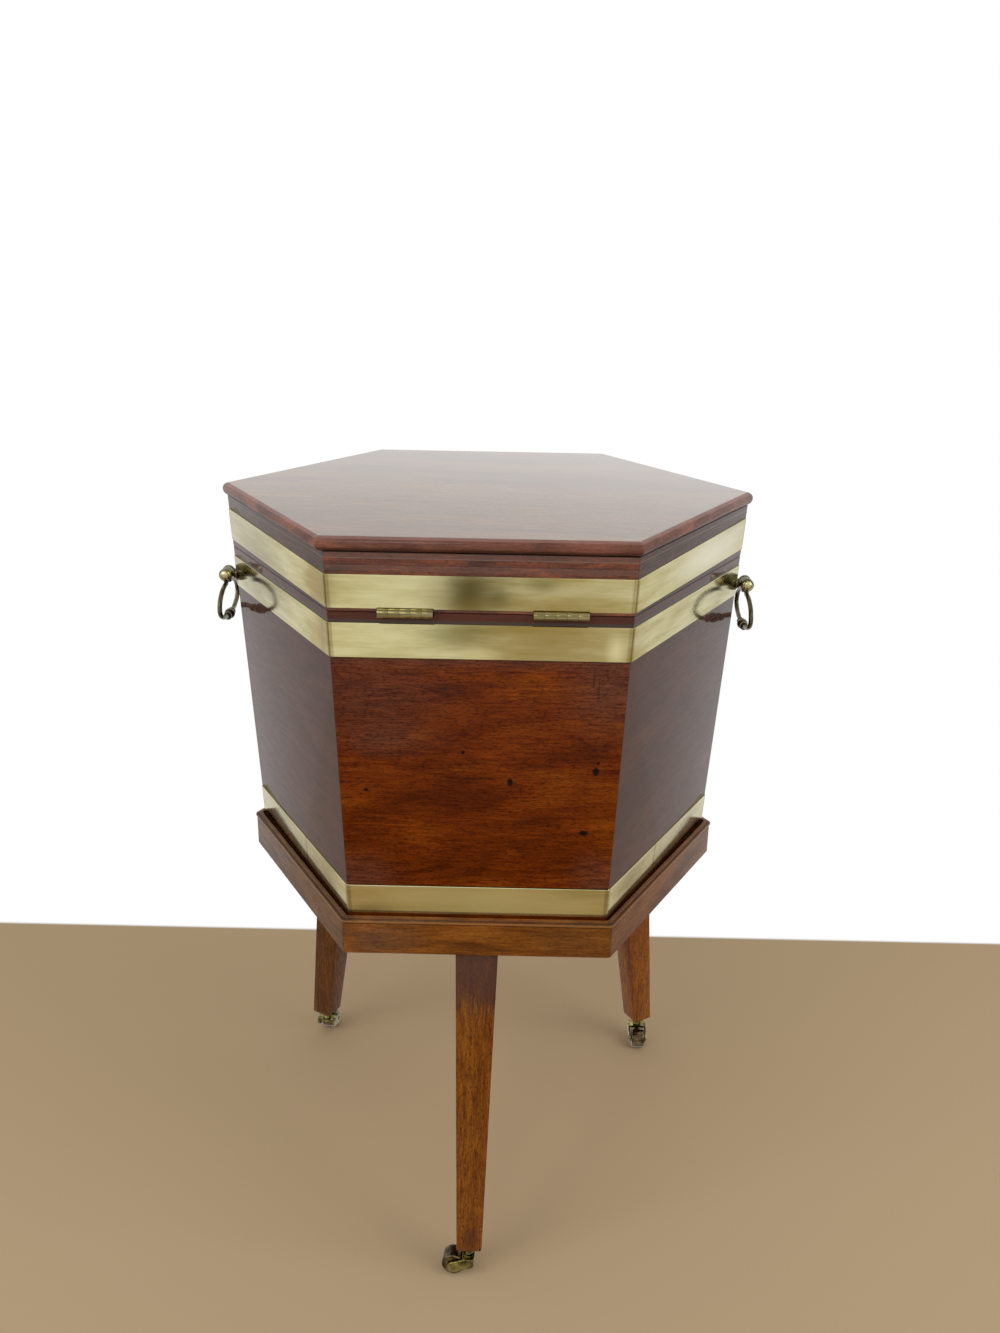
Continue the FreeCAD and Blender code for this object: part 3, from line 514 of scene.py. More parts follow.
stem = finish_edges(joined("stem", [raised("neck", 32, stem_outline, origin),
                                    raised("rivet", 32, head_outline, origin)]), 0)
cheeks = finish_edges(fork(), cast_edge, segments=3)
at_axle = Matrix.Translation((caster_trail, 0, roller_radius)) @ lying
roller = finish_edges(raised("roller", 56, roller_outline, origin, solid=False), 0)
axle = finish_edges(raised("axle", 32, axle_outline, origin), 0)
for n, name in enumerate(LEGS):
    under = Matrix.Translation(feet[n])
    trailing = under @ Matrix.Rotation(math.radians(caster_directions[n]), 4, "Z")
    dress(copied(stem, "caster_neck_" + name, under), "case", "brass_antique", antique_brass,
          "caster_stem_" + name)
    dress(copied(cheeks, "caster_cheeks_" + name, trailing), "caster_" + name, "brass_antique",
          antique_brass, "caster_fork_" + name)
    dress(copied(axle, "caster_pin_" + name, trailing @ at_axle), "caster_" + name, "brass_antique",
          antique_brass, "caster_axle_" + name)
    dress(copied(roller, "brass_roller_" + name, trailing @ at_axle), "roller_" + name, "brass_roller",
          roller_brass, "caster_roller_" + name)
for pattern in (stem, cheeks, axle, roller):
    bpy.data.objects.remove(pattern)

# ---- The case -------------------------------------------------------------------------------
# Six tapering boards of solid mahogany, mitred and glued at the corners, each cut from one wide
# plank with its grain level. The back board has a lively figure, small knots and an old scuff.

board_low, corner_at_top, taper = 0.6685, 0.236, 0.06
rim, lid_joint, wall = 0.6208, 0.6212, 0.0130
outer_faces, mitre_round, mitre_gap, softened = 0.19, 0.0006, 0.00003, 0.0004


def side_at(height, outside=0.0):
    """Distance of the case's flat sides from its axis at a height."""
    return corner_at_top * COS30 - taper * COS30 * (board_low - height) + outside


def strip_section(low, high, thickness, outside=0.0, softened=0.0):
    """Section of boards or brass between two heights, with its outer edges eased."""
    return [(side_at(low, outside - thickness), low), (side_at(low, outside - softened), low),
            (side_at(low + softened, outside), low + softened),
            (side_at(high - softened, outside), high - softened),
            (side_at(high, outside - softened), high), (side_at(high, outside - thickness), high)]


def cut_away(piece, *tools):
    """Takes the tools' shapes out of a piece, and the tools with them."""
    take_up(piece)
    for tool in tools:
        cutter = piece.modifiers.new("cut", "BOOLEAN")
        cutter.operation, cutter.solver, cutter.object = "DIFFERENCE", "EXACT", tool
        bpy.ops.object.modifier_apply(modifier=cutter.name)
        bpy.data.objects.remove(tool)


def block(low, high):
    """Plain block between two corners, for cutting with."""
    bpy.ops.object.select_all(action="DESELECT")
    bpy.ops.mesh.primitive_cube_add(size=1, location=(low + high) / 2, scale=high - low)
    return bpy.context.object


def rod(radius, start, end):
    """Round rod between two points, for cutting with."""
    bpy.ops.object.select_all(action="DESELECT")
    way = end - start
    bpy.ops.mesh.primitive_cylinder_add(vertices=48, radius=radius, depth=way.length,
                                        location=(start + end) / 2,
                                        rotation=way.to_track_quat("Z", "Y").to_euler())
    return bpy.context.object


leaf_thickness, barrel_room, end_room, hinge_pin_radius = 0.0016, 0.0039, 0.0004, 0.0015
hinge_axis = Vector((0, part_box("hinge_pins")[0].y + hinge_pin_radius,
                     sum(corner.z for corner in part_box("hinge_pins")) / 2))


def barrel_line(hand):
    """Ends of the room that one hinge's barrel needs."""
    low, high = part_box("hinge_leaf_case_" + hand)
    return [Vector((x, hinge_axis.y, hinge_axis.z)) for x in (low.x - end_room, high.x + end_room)]


def hinge_tools(owner):
    """What a hinge takes out of the wood on one side of the joint: the barrel's room and a mortise."""
    tools = []
    for hand in ("left", "right"):
        low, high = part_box("hinge_leaf_%s_%s" % (owner, hand))
        tools.append(rod(barrel_room, *barrel_line(hand)))
        if owner == "lid":
            bottom, top = rim, lid_joint + leaf_thickness
        else:
            bottom, top = rim - leaf_thickness, lid_joint
        tools.append(block(Vector((low.x, hinge_axis.y, bottom)), Vector((high.x, high.y, top))))
    return tools


keyhole_height, keyhole_radius = 0.600, 0.0024
lock_half, selvedge, over = 0.023, 0.002, 0.001


def keyhole_tools():
    """Round hole with a slot under it, through the front."""
    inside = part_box("lock_case")[0].y + 0.003
    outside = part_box("escutcheon")[1].y + 0.01
    slot_half, slot_low = 0.0011, keyhole_height - 0.0075
    return [rod(keyhole_radius, Vector((0, inside, keyhole_height)),
                Vector((0, outside, keyhole_height))),
            block(Vector((-slot_half, inside, slot_low)), Vector((slot_half, outside, keyhole_height)))]


figured = {"tones": ("#561f02", "#6b2a03", "#7b3805"), "figure": math.radians(-7),
           "ribbon": (0.10, 0.035, 0.03), "coat": 0.16, "sheen": 0.0}
plain_shaded_sides = {"tones": ("#391a0b", "#431f0f", "#4c2611"), "grain": 0.25, "coat": 0.40, "film": 2.2}
# the two boards beside the hinges get darker, duller tones than the front boards: painted shade on those
# sides
red_front_boards = dict(figured, tones=("#441909", "#55230c", "#632c11"), coat=0.34)
boards_look = {"back": figured, "back_left": plain_shaded_sides, "back_right": plain_shaded_sides}
pitch, bloom = "#140a07", "#5e4038"
knots = [((x, -0.17, z), (width, 0.5, height), 0.97, pitch) for x, z, width, height in (
    (0.025, 0.4785, 0.0026, 0.0040), (0.0935, 0.4895, 0.0030, 0.0046), (0.0860, 0.4330, 0.0042, 0.0028),
    (-0.013, 0.5040, 0.0018, 0.0018), (0.0950, 0.4970, 0.0014, 0.0018), (-0.091, 0.4690, 0.0020, 0.0016))]
knots += [((x, -0.17, z), (width, 0.5, height), 0.4, "#1c0c08") for x, z, width, height in (
    (0.0885, 0.570, 0.0010, 0.010), (0.0925, 0.560, 0.0009, 0.012), (0.0985, 0.573, 0.0010, 0.006),
    (0.0955, 0.566, 0.0030, 0.0012))]
# greyish patches along the top and towards the corners: partly bloom in the polish, partly painted sheen
# where the polish reflects the room
bloom_and_sheen = [((x, -0.17, z), (width, 0.5, height), strength, bloom) for x, z, width, height, strength in (
    (-0.085, 0.555, 0.085, 0.050, 0.30), (0.105, 0.560, 0.050, 0.050, 0.5),
    (0.0, 0.588, 0.300, 0.016, 0.55), (-0.075, 0.515, 0.050, 0.020, 0.35),
    (-0.100, 0.385, 0.040, 0.034, 0.4), (0.100, 0.388, 0.030, 0.034, 0.4))]
# dark lines and zones along the brass bands' edges: partly dirt and patina in the joints, partly painted
# shade under the bands' edges and between them
band_dirt_and_shade = [(0.6165, 0.0043, 0.85, "#4c2f28"), (0.6136, 0.0015, 0.8, "#45403a"),
             (0.5838, 0.0004, 0.9, "#150b07"), (0.3794, 0.0004, 0.9, "#150b07")]
walls = hexagonal("case_boards", strip_section(seat, rim, wall, softened=softened))
round_corners(walls, mitre_round, above=outer_faces)
for k, board in enumerate(six_boards(walls, ["case_board_" + side for side in SIDES], mitre_gap)):
    side = SIDES[k]
    if side == "back":
        cut_away(board, *hinge_tools("case"))
    if side == "front":
        low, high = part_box("lock_case")
        cut_away(board, block(Vector((-lock_half, low.y, low.z)),
                              Vector((lock_half, high.y, high.z + over))),
                 block(Vector((low.x, low.y, high.z - selvedge)), high + Vector((0, 0, over))),
                 *keyhole_tools())
    wood = mahogany("polished_mahogany_case_%d" % k, turn=grain_along(k),
                    shift=(0.17 * k, 0.4, 0.08 * k), marks=knots if side == "back" else (),
                    blooms=bloom_and_sheen if side == "back" else (), lines=band_dirt_and_shade,
                    **boards_look.get(side, red_front_boards))
    finish_edges(board, 0)
    dress(board, "case", "mahogany_case", wood, "case_wall_" + side)

# ---- Inside the case ------------------------------------------------------------------------
# A pine bottom screwed down on to the stand, a folded and soldered zinc liner, and three thin
# pine partitions halved into each other that keep six bottles apart.

pine = new_material("planed_pine")
# planed softwood, darkened by age: straight pale and brown grain and no polish
place = add(pine, "TexCoord").outputs["Object"]
rings = mottled(pine, place, (0.09, 0.09, 0.004), 4.0, 0.5, waver=0.4)
tone = add(pine, "ValToRGB", {0: rings}, stops=[(0.35, linear("#7d5a35")), (0.65, linear("#b08d5e"))])
dent = add(pine, "Bump", {"Strength": 0.3, "Distance": 0.0002, "Height": rings})
shader = add(pine, "BsdfPrincipled", {"Base Color": tone.outputs[0], "Roughness": 0.62,
                                      "Normal": dent.outputs[0]})
add(pine, "OutputMaterial", {"Surface": shader.outputs[0]})

zinc = new_material("rolled_zinc")
# rolled zinc sheet gone dull: blue-grey with pale and dark clouds
place = add(zinc, "TexCoord").outputs["Object"]
clouds = add(zinc, "TexNoise", {"Vector": place, "Scale": 28.0, "Detail": 5.0,
                                "Roughness": 0.65}).outputs[0]
tone = add(zinc, "ValToRGB", {0: clouds}, stops=[(0.35, linear("#70757a")), (0.68, linear("#a9adb0"))])
dull = add(zinc, "MapRange", {0: clouds, 1: 0.3, 2: 0.7, 3: 0.55, 4: 0.38})
shader = add(zinc, "BsdfPrincipled", {"Base Color": tone.outputs[0], "Metallic": 1.0,
                                      "Roughness": dull.outputs[0]})
add(zinc, "OutputMaterial", {"Surface": shader.outputs[0]})

steel = new_material("filed_steel")
# old filed iron and steel of the lock and the screws: dark grey, brown where it has rusted
place = add(steel, "TexCoord").outputs["Object"]
rust = add(steel, "TexNoise", {"Vector": place, "Scale": 180.0, "Detail": 4.0}).outputs[0]
tone = add(steel, "ValToRGB", {0: rust}, stops=[(0.4, linear("#4c3a2e")), (0.6, linear("#6f6e6c"))])
worn = add(steel, "MapRange", {0: rust, 1: 0.35, 2: 0.65, 3: 0.6, 4: 0.35})
shader = add(steel, "BsdfPrincipled", {"Base Color": tone.outputs[0], "Metallic": 1.0,
                                       "Roughness": worn.outputs[0]})
add(steel, "OutputMaterial", {"Surface": shader.outputs[0]})


def keep(material, *nodes):
    """The CAD's own solid is right as it is, and takes this material."""
    for name in nodes:
        for place in frame["nodes"][name].material_slots:
            place.material = material


keep(pine, "case_bottom", "bottle_partition_1", "bottle_partition_2", "bottle_partition_3")
keep(zinc, "liner")
keep(steel, "stand_screws", "lock_case", "lock_bolt")

# ---- The brass bands ------------------------------------------------------------------------
# Rolled brass strip 0.8 mm thick, bent round the corners and laid flat on the wood: one round
# the lid, one round the top of the case and one, in two lengths, just above the stand.

band = 0.0008
# marks on the brass bands: partly tarnish, partly painted reflections; the palest patches, and the pale
# line along the lower band's top edge, are painted highlights
tarnish_and_painted_light = [((x, -0.19, z), (width, 0.08, height), strength, shade)
           for x, z, width, height, strength, shade in (
    (0.060, 0.637, 0.080, 0.060, 0.4, "#b09a5c"), (-0.004, 0.637, 0.050, 0.050, 0.85, "#6a5d35"),
    (-0.009, 0.638, 0.020, 0.024, 0.8, "#4d4424"), (0.013, 0.634, 0.012, 0.012, 0.6, "#4a4a2c"),
    (0.046, 0.645, 0.019, 0.009, 0.6, "#5f5f3c"), (-0.122, 0.640, 0.016, 0.040, 0.5, "#7a7342"),
    (0.050, 0.598, 0.100, 0.060, 0.85, "#967e44"), (-0.020, 0.604, 0.034, 0.014, 0.6, "#75703f"),
    (-0.002, 0.588, 0.020, 0.008, 0.6, "#d8cd92"), (0.104, 0.594, 0.010, 0.016, 0.8, "#e3d9a5"),
    (-0.070, 0.637, 0.050, 0.030, 0.4, "#e2dcac"), (-0.070, 0.598, 0.060, 0.030, 0.4, "#e2dcac"),
    (-0.122, 0.600, 0.008, 0.040, 0.6, "#7a7342"), (-0.090, 0.356, 0.030, 0.008, 0.6, "#6b5a30"),
    (-0.080, 0.3785, 0.060, 0.0022, 0.6, "#e9e2c4"), (0.010, 0.364, 0.140, 0.040, 0.6, "#e4ebc0"))]
tarnish_and_painted_light += [((sign * x, y, z), radii, strength, shade) for sign, x, y, z, radii, strength, shade in (
    (-1, 0.131, -0.175, 0.637, (0.016, 0.03, 0.03), 0.7, "#b0935a"),
    (-1, 0.128, -0.175, 0.597, (0.014, 0.03, 0.03), 0.6, "#b89e66"),
    (-1, 0.200, -0.060, 0.620, (0.070, 0.12, 0.06), 0.7, "#8c8058"),
    (-1, 0.175, -0.080, 0.364, (0.070, 0.14, 0.03), 0.65, "#8f8258"),
    (1, 0.190, -0.060, 0.640, (0.070, 0.12, 0.02), 0.8, "#f4eed2"),
    (1, 0.175, -0.080, 0.364, (0.070, 0.14, 0.03), 0.55, "#8f8258"))]
for sign in (-1, 1):
    # the shorter length of the lower band is darker, and its joints hold dirt
    tarnish_and_painted_light += [((sign * 0.134, -0.146, 0.364), (0.038, 0.052, 0.03), 0.6, "#7d6c3e"),
                ((sign * 0.164, -0.0950, 0.364), (0.02, 0.0022, 0.03), 0.9, "#5c4e2a")]
band_brass = brass("rolled_brass_band", ("#b3a769", "#cdc28c", "#dbd3a4"), (0.09, 0.17), tarnish_and_painted_light,
                   (0.07, 0.07, 0.012), (0.03, 0.03, 0.0012), bends=corner_at_top - taper * board_low)
band_edge, band_bend = 0.0003, 0.0020
lower_band_low, lower_band_high = 0.3520, 0.3792
upper_band_low, upper_band_high = 0.5840, 0.6123
lower_band = hexagonal("brass_band_low",
                       strip_section(lower_band_low, lower_band_high, band, band, band_edge))
upper_band = hexagonal("brass_band_high",
                       strip_section(upper_band_low, upper_band_high, band, band, band_edge))
lid_low, lid_high = 0.6276, 0.6560
back_low, back_high = 0.6239, 0.6508
lid_band = hexagonal("brass_band_lid", strip_section(lid_low, lid_high, band, band, band_edge))
bpy.ops.object.mode_set(mode="EDIT")
for old, new in ((lid_low, back_low), (lid_high, back_high)):
    # on the hinge side the band lies lower, to meet the hinges
    pick("VERT", lambda v: abs(v.co.z - old) < 0.001 and v.co.y < axis_y - 0.1)
    shrink = side_at(new) / side_at(old)
    bpy.ops.transform.translate(value=(0, 0, new - old))
    bpy.ops.transform.resize(value=(shrink, shrink, 1), center_override=axis + Vector((0, 0, new)))
bpy.ops.object.mode_set(mode="OBJECT")
for ring in (lower_band, upper_band, lid_band):
    bpy.context.view_layer.objects.active = ring
    round_corners(ring, band_bend, above=outer_faces)
cut_away(lid_band, *[rod(barrel_room, *barrel_line(hand)) for hand in ("left", "right")])
cut_away(upper_band, *keyhole_tools())
# the lower band's two lengths meet half way along the sides beside the hinges
strips_meet, hair, clear = axis_y - side_at(lower_band_high) / 2, 0.0002, 0.3
cut_away(lower_band, block(Vector((-clear, strips_meet - hair, lower_band_low - over)),
                           Vector((clear, strips_meet + hair, lower_band_high + over))))
for ring in (lower_band, upper_band, lid_band):
    finish_edges(ring, 0)
dress(lower_band, "case", "brass_band", band_brass, "lower_band")
dress(upper_band, "case", "brass_band", band_brass, "upper_band")
dress(lid_band, "lid", "brass_band", band_brass, "lid_band")

# ---- The drop handles -----------------------------------------------------------------------
# Cast and turned brass, browned by age: a boss on the corner with a bored head, a pin with a
# domed end on each side, and an oval loop with a turned swelling at the bottom.

dome_brass = brass("turned_brass_dome", ("#857b58", "#aba07a", "#cbc29c"), (0.12, 0.22))
browned_brass = brass("cast_brass_browned", ("#3a3628", "#5d5742", "#8c8460"), (0.16, 0.28),
                      blotch=(0.016, 0.016, 0.016))
handle_x, handle_height = 0.2404, 0.5950
wire, bail_half, bail_widest, bail_drop = 0.0021, 0.0360, 0.0260, 0.0390
arm_y, arm_drop, eye_start, eye_end, eye_radius = 0.0064, 0.0083, 0.0043, 0.0086, 0.0060
post_outline = [(0.0025, 0.2180), (0.0025, 0.2298), (0.0048, 0.2302), (0.0053, 0.2307), (0.0053, 0.2318),
                (0.0048, 0.2321), (0.0041, 0.2323), (0.0041, 0.2326), (0.0047, 0.2329), (0.0048, 0.2333),
                (0.0044, 0.2337), (0.0034, 0.2341), (0.0033, 0.2357), (0.0037, 0.2381)]
head_outline = [(0.0019, -0.0039), (0.0048, -0.0039), (0.0054, -0.0035), (0.0056, -0.0028)]
head_outline += [(radius, -height) for radius, height in reversed(head_outline)]
dome_radius, dome_foot, dome_rise = 0.0046, 0.0092, 0.0024
dome_outline = [(0.0018, 0.0088), (dome_radius, 0.0089), (0.0048, dome_foot)]
dome_outline += arc((0, dome_foot), (dome_radius, dome_rise), 0, 90, 8)[1:-1]
pin_outline = [(radius, -height) for radius, height in reversed(dome_outline)] + dome_outline
eye_outline = [(0.00186, eye_start), (eye_radius - 0.0008, eye_start), (eye_radius, eye_start + 0.0008),
               (eye_radius, eye_end - 0.0010), (eye_radius - 0.0003, eye_end - 0.0004),
               (eye_radius - 0.0010, eye_end), (0.00186, eye_end)]
knob_radius, knob_neck, knob_half = 0.0049, 0.0028, 0.0058
knob_outline = [(0.0021, -0.0115), (knob_neck, -0.0085), (0.0037, -0.0085), (0.0037, -0.0072),
                (knob_neck, -0.0072)]
knob_outline += [point for point in arc((0, 0), (knob_radius, knob_half), -90, 90, 16)
                 if point[0] > knob_neck]
knob_outline += [(radius, -height) for radius, height in reversed(knob_outline[:5])]
across = Matrix.Rotation(math.radians(-90), 4, "X")


def loop_of_wire():
    """Half oval of round wire in the YZ plane, hanging from the origin."""
    curve = bpy.data.curves.new("loop", "CURVE")
    curve.dimensions, curve.bevel_depth, curve.bevel_resolution = "3D", wire, 6
    curve.resolution_u, curve.use_fill_caps = 20, True
    line = curve.splines.new("BEZIER")
    line.bezier_points.add(4)
    pull = 0.5523
    reach, foot = (bail_half - arm_y) * pull, bail_half * pull
    upper, lower = (bail_widest - arm_drop) * pull, (bail_drop - bail_widest) * pull
    course = (((arm_y, -arm_drop), (-reach, 0), (reach, 0)),
              ((bail_half, -bail_widest), (0, upper), (0, -lower)),
              ((0, -bail_drop), (foot, 0), (-foot, 0)),
              ((-bail_half, -bail_widest), (0, -lower), (0, upper)),
              ((-arm_y, -arm_drop), (-reach, 0), (reach, 0)))
    for point, (place, before, after) in zip(line.bezier_points, course):
        point.handle_left_type = point.handle_right_type = "FREE"
        point.co = (0, *place)
        point.handle_left = (0, place[0] + before[0], place[1] + before[1])
        point.handle_right = (0, place[0] + after[0], place[1] + after[1])
    piece = bpy.data.objects.new("loop", curve)
    bpy.context.scene.collection.objects.link(piece)
    take_up(piece)
    bpy.ops.object.convert(target="MESH")
    return bpy.context.object


for sign, hand in ((-1, "left"), (1, "right")):
    centre = Matrix.Translation(axis + Vector((sign * handle_x, 0, handle_height)))
    outwards = Matrix.Translation(axis + Vector((0, 0, handle_height))) @ Matrix.Rotation(
        math.radians(90 * sign), 4, "Y")
    post = copied(raised("post", 32, post_outline, origin), "handle_boss_" + hand, outwards)
    head = copied(raised("head", 32, head_outline, origin, solid=False), "head", centre @ across)
    post = finish_edges(joined("handle_boss_" + hand, [post, head]), 0.0002, angle=50)
    dress(post, "case", "brass_antique", browned_brass, "handle_post_" + hand)
    pin = copied(raised("pin", 32, pin_outline, origin), "handle_pivot_" + hand, centre @ across)
    finish_edges(pin, 0, angle=50)
    dress(pin, "case", "brass_antique", dome_brass, "handle_pins")
    parts = [copied(loop_of_wire(), "wire", centre)]
    for side in (-1, 1):
        outline = [(radius, height * side) for radius, height in eye_outline]
        parts.append(copied(raised("eye", 32, outline, origin, solid=False), "eye", centre @ across))
        middle = side * (eye_start + eye_end) / 2
        web = raised("web", 20, [(0.00195, -arm_drop - 0.0012), (0.0021, -arm_drop), (0.00215, -0.004)],
                     Vector((0, middle, 0)))
        parts.append(copied(web, "web", centre))
    knob = raised("knob", 32, knob_outline, origin)
    parts.append(copied(knob, "knob", centre @ Matrix.Translation((0, 0, -bail_drop)) @ across))
    bail = finish_edges(joined("drop_handle_" + hand, parts), 0, angle=50)
    dress(bail, "bail_" + hand, "brass_antique", browned_brass, "handle_bail_" + hand)
patterns = ("post", "head", "pin", "eye", "web", "knob", "loop")
for scrap in [o for o in bpy.data.objects if o.name.split(".")[0] in patterns]:
    bpy.data.objects.remove(scrap)

# ---- The lid --------------------------------------------------------------------------------
# A hexagonal board with a rounded edge, glued on a frame of six mitred rails. The rails are
# veneered in strips, and the joints of the strips show as fine dark and greyish lines.

board_top, board_radius, edge_round, corner_reach = 0.6800, 0.240, 0.0054, 0.0034
# the darkest line, just under the board, is the joint darkened further as painted shade under the board's
# rounded edge
veneer_joints_and_shade = [(0.6660, 0.0024, 0.4, "#665048"), (0.6559, 0.0024, 0.2, "#74625a"),
                (0.6682, 0.0005, 0.9, "#160c09"), (0.6636, 0.0003, 0.8, "#7a665c"),
                (0.6584, 0.0003, 0.8, "#2c1a14"), (0.6216, 0.0004, 0.9, "#120a07")]
rail_ring = hexagonal("lid_rails", strip_section(lid_joint, board_low, wall, softened=softened))
round_corners(rail_ring, mitre_round, above=outer_faces)
for k, board in enumerate(six_boards(rail_ring, ["lid_frame_" + side for side in SIDES], mitre_gap)):
    side = SIDES[k]
    if side == "back":
        cut_away(board, *hinge_tools("lid"))
    if side == "front":
        low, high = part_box("link_plate")
        cut_away(board, block(Vector((low.x, low.y, lid_joint - over)), high))
    # the two boards beside the hinges get darker, duller tones, painted shade as on the case's own sides
    # there
    tones, zones, coat, film = ("#502616", "#70361e", "#834528"), veneer_joints_and_shade, 0.7, 1.5
    if side in ("back_left", "back_right"):
        tones, zones, coat, film = ("#3a1d10", "#452414", "#4f2c19"), veneer_joints_and_shade[2:], 0.42, 2.2
    wood = mahogany("polished_mahogany_frieze_%d" % k, tones, grain_along(k), (0.21 * k, 0.7, 0.03 * k),
                    lines=zones, coat=coat, film=film)
    finish_edges(board, 0)
    dress(board, "lid", "mahogany_frieze", wood, "lid_rail_" + side)

section = arc((board_radius * COS30 - edge_round, board_low + edge_round),
              (edge_round, edge_round), -90, 0, 8)
section += [(distance, board_low + board_top - height) for distance, height in reversed(section)]
lid_board = hexagonal("lid_top_board", section, solid=True)
round_corners(lid_board, 0.0008)
bpy.ops.object.mode_set(mode="EDIT")
# the board is a little out of square: its back left corner lies further out
pick("VERT", lambda v: -0.15 < v.co.x < -0.09 and v.co.y < -0.15)
bpy.ops.transform.translate(value=(-corner_reach, 0, 0))
bpy.ops.object.mode_set(mode="OBJECT")
finish_edges(lid_board, 0)
dents = [((-0.121, -0.168, 0.680), (0.0030, 0.0016, 0.5), 0.5, pitch),
         ((0.055, -0.048, 0.680), (0.0016, 0.0022, 0.5), 0.6, pitch)]
top_wood = mahogany("polished_mahogany_top", ("#573616", "#68431a", "#775020"),
                    shift=(0.5, 0.2, 0.1), marks=dents, ribbon=(0.25, 0.05, 0.02), grain=0.3,
                    coat=0.95, film=1.8, gloss=0.12, sheen=0.3)
# the rounded edge has lost most of its polish to hands and cloths; its underside is darkened as painted
# shade and a pale line along its top is a painted highlight
edge_wood = mahogany("rubbed_mahogany_edge", ("#572f24", "#6e4132", "#884f3f"),
                     shift=(0.5, 0.2, 0.1), grain=0.6, coat=0.45, gloss=0.16,
                     lines=[(board_low + 0.0010, 0.0022, 0.6, "#2a120c"),
                            (board_top - 0.0010, 0.0008, 0.35, "#a07a74")])
dress(lid_board, "lid", "mahogany_top", top_wood, "lid_board")
lid_board.data.materials.append(edge_wood)
for face in lid_board.data.polygons:
    face.material_index = 1 if abs(face.normal.z) < 0.97 else 0

# ---- Hinges, lock and screws ----------------------------------------------------------------
# Two cast brass butt hinges with five knuckles, an oval brass keyhole plate, a brass link plate
# with its staple, and brass countersunk screws with filed heads.

fitting_brass = brass("cast_brass_fitting", ("#544b2e", "#837951", "#b8ad84"), (0.2, 0.32),
                      blotch=(0.09, 0.003, 0.0016), scratch=(0.04, 0.001, 0.0005))


def eased(node, name, width):
    """Piece with the CAD solid's own shape, its sharp edges taken off."""
    piece = copied(frame["nodes"][node], name)
    piece.parent = None
    piece.hide_render = piece.hide_viewport = False
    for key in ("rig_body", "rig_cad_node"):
        if key in piece:
            del piece[key]
    take_up(piece)
    bpy.ops.object.mode_set(mode="EDIT")
    bpy.ops.mesh.select_all(action="SELECT")
    bpy.ops.mesh.remove_doubles(threshold=2e-6)
    bpy.ops.mesh.dissolve_limited(angle_limit=math.radians(1))
    bpy.ops.object.mode_set(mode="OBJECT")
    return finish_edges(piece, width, angle=35)


for hand in ("left", "right"):
    for owner in ("lid", "case"):
        node = "hinge_leaf_%s_%s" % (owner, hand)
        leaf = eased(node, "hinge_%s_%s" % (owner, hand), 0.00012)
        dress(leaf, owner, "brass_fitting", fitting_brass, node)
plate = eased("escutcheon", "keyhole_plate", 0.0003)
dress(plate, "case", "brass_fitting", fitting_brass, "escutcheon")
keep(fitting_brass, "hinge_pins", "link_plate", "lid_screws", "case_screws")

# ---- Floor, light and camera ----------------------------------------------------------------
# A plain pale floor, beige round the object and white beyond, under a white room, two large
# soft lamps and a small one in front.

carpet_back, carpet_front = 0.3572, -1.0
bpy.ops.object.select_all(action="DESELECT")
bpy.ops.mesh.primitive_plane_add(size=12, location=(0, 0, 0))
floor = bpy.context.object
floor.name = "floor"
m = new_material("pale_floor")
where = add(m, "SeparateXYZ", {0: add(m, "TexCoord").outputs["Object"]}).outputs[1]
beyond = add(m, "MapRange", {0: where, 1: carpet_back - 0.003, 2: carpet_back + 0.003}).outputs[0]
before = add(m, "MapRange", {0: where, 1: carpet_front - 0.25, 2: carpet_front + 0.25,
                             3: 1.0, 4: 0.0}).outputs[0]
pale = add(m, "Math", {0: beyond, 1: before}, operation="MAXIMUM").outputs[0]
tint = add(m, "Mix", {0: pale, 6: linear("#b8a07f"), 7: linear("#efedea")}, data_type="RGBA").outputs[2]
matt = add(m, "BsdfDiffuse", {"Color": tint})
white = add(m, "Emission", {"Color": grey(1.0), "Strength": 1.0})
path = add(m, "LightPath")
lit = add(m, "Math", {0: beyond, 1: path.outputs["Is Camera Ray"]}, operation="MULTIPLY").outputs[0]
both = add(m, "MixShader", {0: lit, 1: matt.outputs[0], 2: white.outputs[0]})
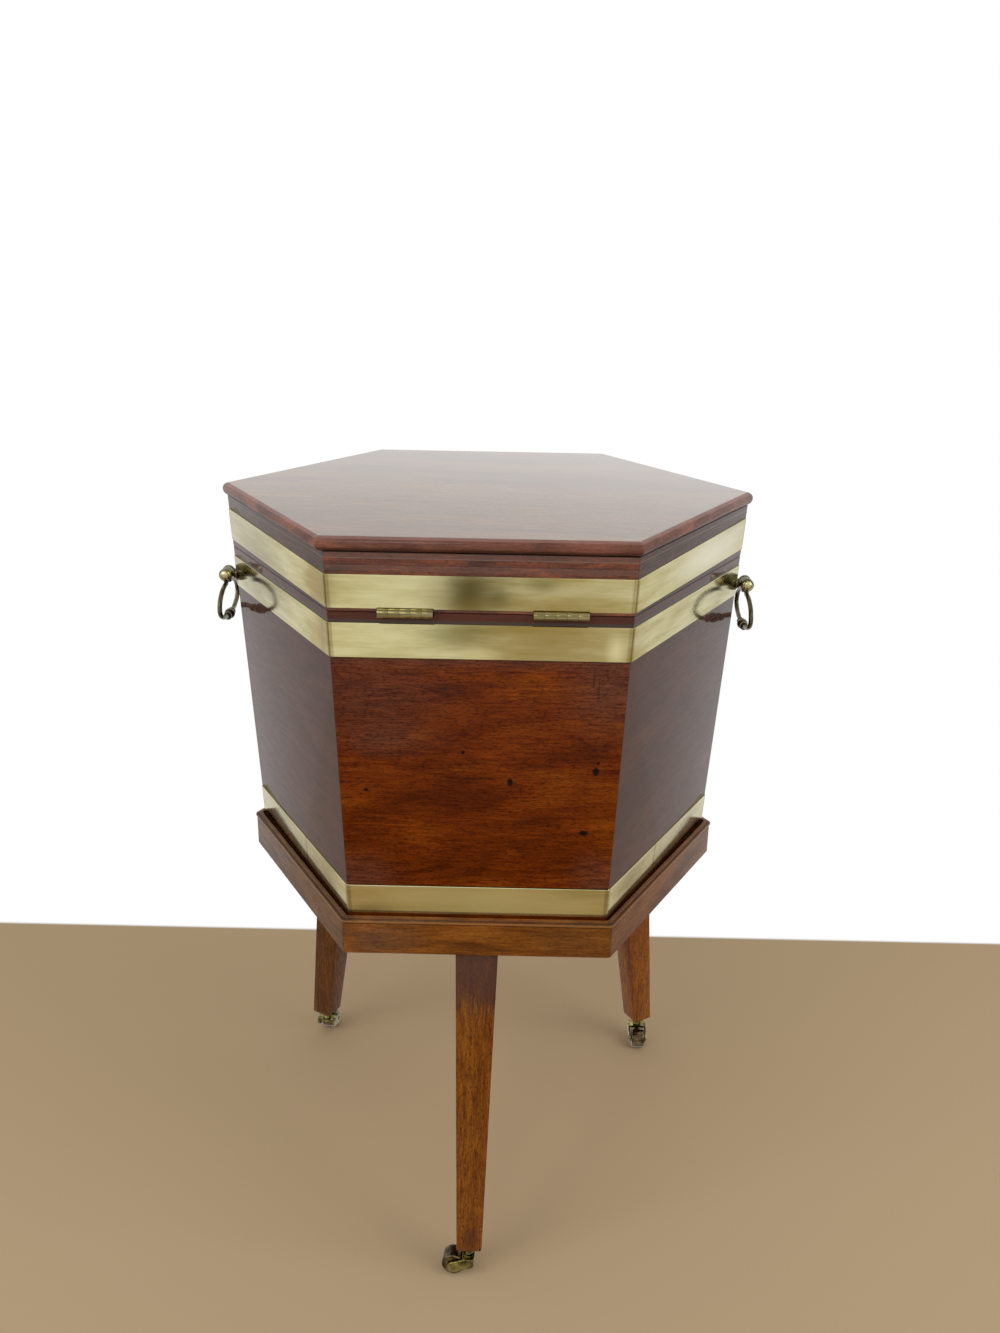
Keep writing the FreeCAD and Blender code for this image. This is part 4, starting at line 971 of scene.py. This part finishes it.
# reflected rays find the floor beside and behind the case paler than it is seen, which gives
# the polish on the leaning walls its sheen
aside = add(m, "MapRange", {0: where, 1: -0.45, 2: -0.05, 4: 0.85}).outputs[0]
further = add(m, "MapRange", {0: where, 1: carpet_back - 0.25, 2: carpet_back + 0.35}).outputs[0]
caught = add(m, "Mix", {0: further, 6: (0.76, 0.71, 0.66, 1.0), 7: grey(0.87)},
             data_type="RGBA").outputs[2]
shine = add(m, "Emission", {"Color": caught, "Strength": 1.0})
share = add(m, "Math", {0: aside, 1: path.outputs["Is Glossy Ray"]}, operation="MULTIPLY").outputs[0]
last = add(m, "MixShader", {0: share, 1: both.outputs[0], 2: shine.outputs[0]})
add(m, "OutputMaterial", {"Surface": last.outputs[0]})
floor.data.materials.append(m)

world = bpy.data.worlds.new("white_room")
bpy.context.scene.world = world
world.use_nodes = True
world.node_tree.nodes.clear()
path = add(world, "LightPath")
shown = path.outputs["Is Camera Ray"]
for ray in ("Is Glossy Ray", "Is Transmission Ray"):
    shown = add(world, "Math", {0: shown, 1: path.outputs[ray]}, operation="MAXIMUM").outputs[0]
soft = add(world, "Background", {"Color": grey(1.0), "Strength": 0.62})
white = add(world, "Background", {"Color": grey(1.0), "Strength": 1.0})
mixed = add(world, "MixShader", {0: shown, 1: soft.outputs[0], 2: white.outputs[0]})
add(world, "OutputWorld", {"Surface": mixed.outputs[0]})

for name, place, size, power in (("window_left", (-1.7, -1.5, 1.9), 1.5, 19.0),
                                  ("window_right", (1.9, -0.9, 1.7), 1.5, 17.0),
                                  ("lamp_front", (-0.50, -2.0, 2.0), 0.60, 4.0)):
    lamp = bpy.data.lights.new(name, "AREA")
    lamp.shape, lamp.size, lamp.energy = "SQUARE", size, power
    holder = bpy.data.objects.new(name, lamp)
    holder.location = place
    towards = Vector((0, 0, 0.35)) - Vector(place)
    holder.rotation_euler = towards.to_track_quat("-Z", "Y").to_euler()
    holder.visible_camera = False
    bpy.context.scene.collection.objects.link(holder)

view = bpy.data.cameras.new("camera")
view.sensor_width, view.lens = 36, 31.714
camera = bpy.data.objects.new("camera", view)
camera.location = (0.02009, -1.04216, 0.8785)
camera.rotation_euler = [math.radians(a) for a in (70.65699, -0.99074, 0.66777)]
bpy.context.scene.collection.objects.link(camera)
bpy.context.scene.camera = camera
bpy.context.scene.view_settings.view_transform = "Standard"
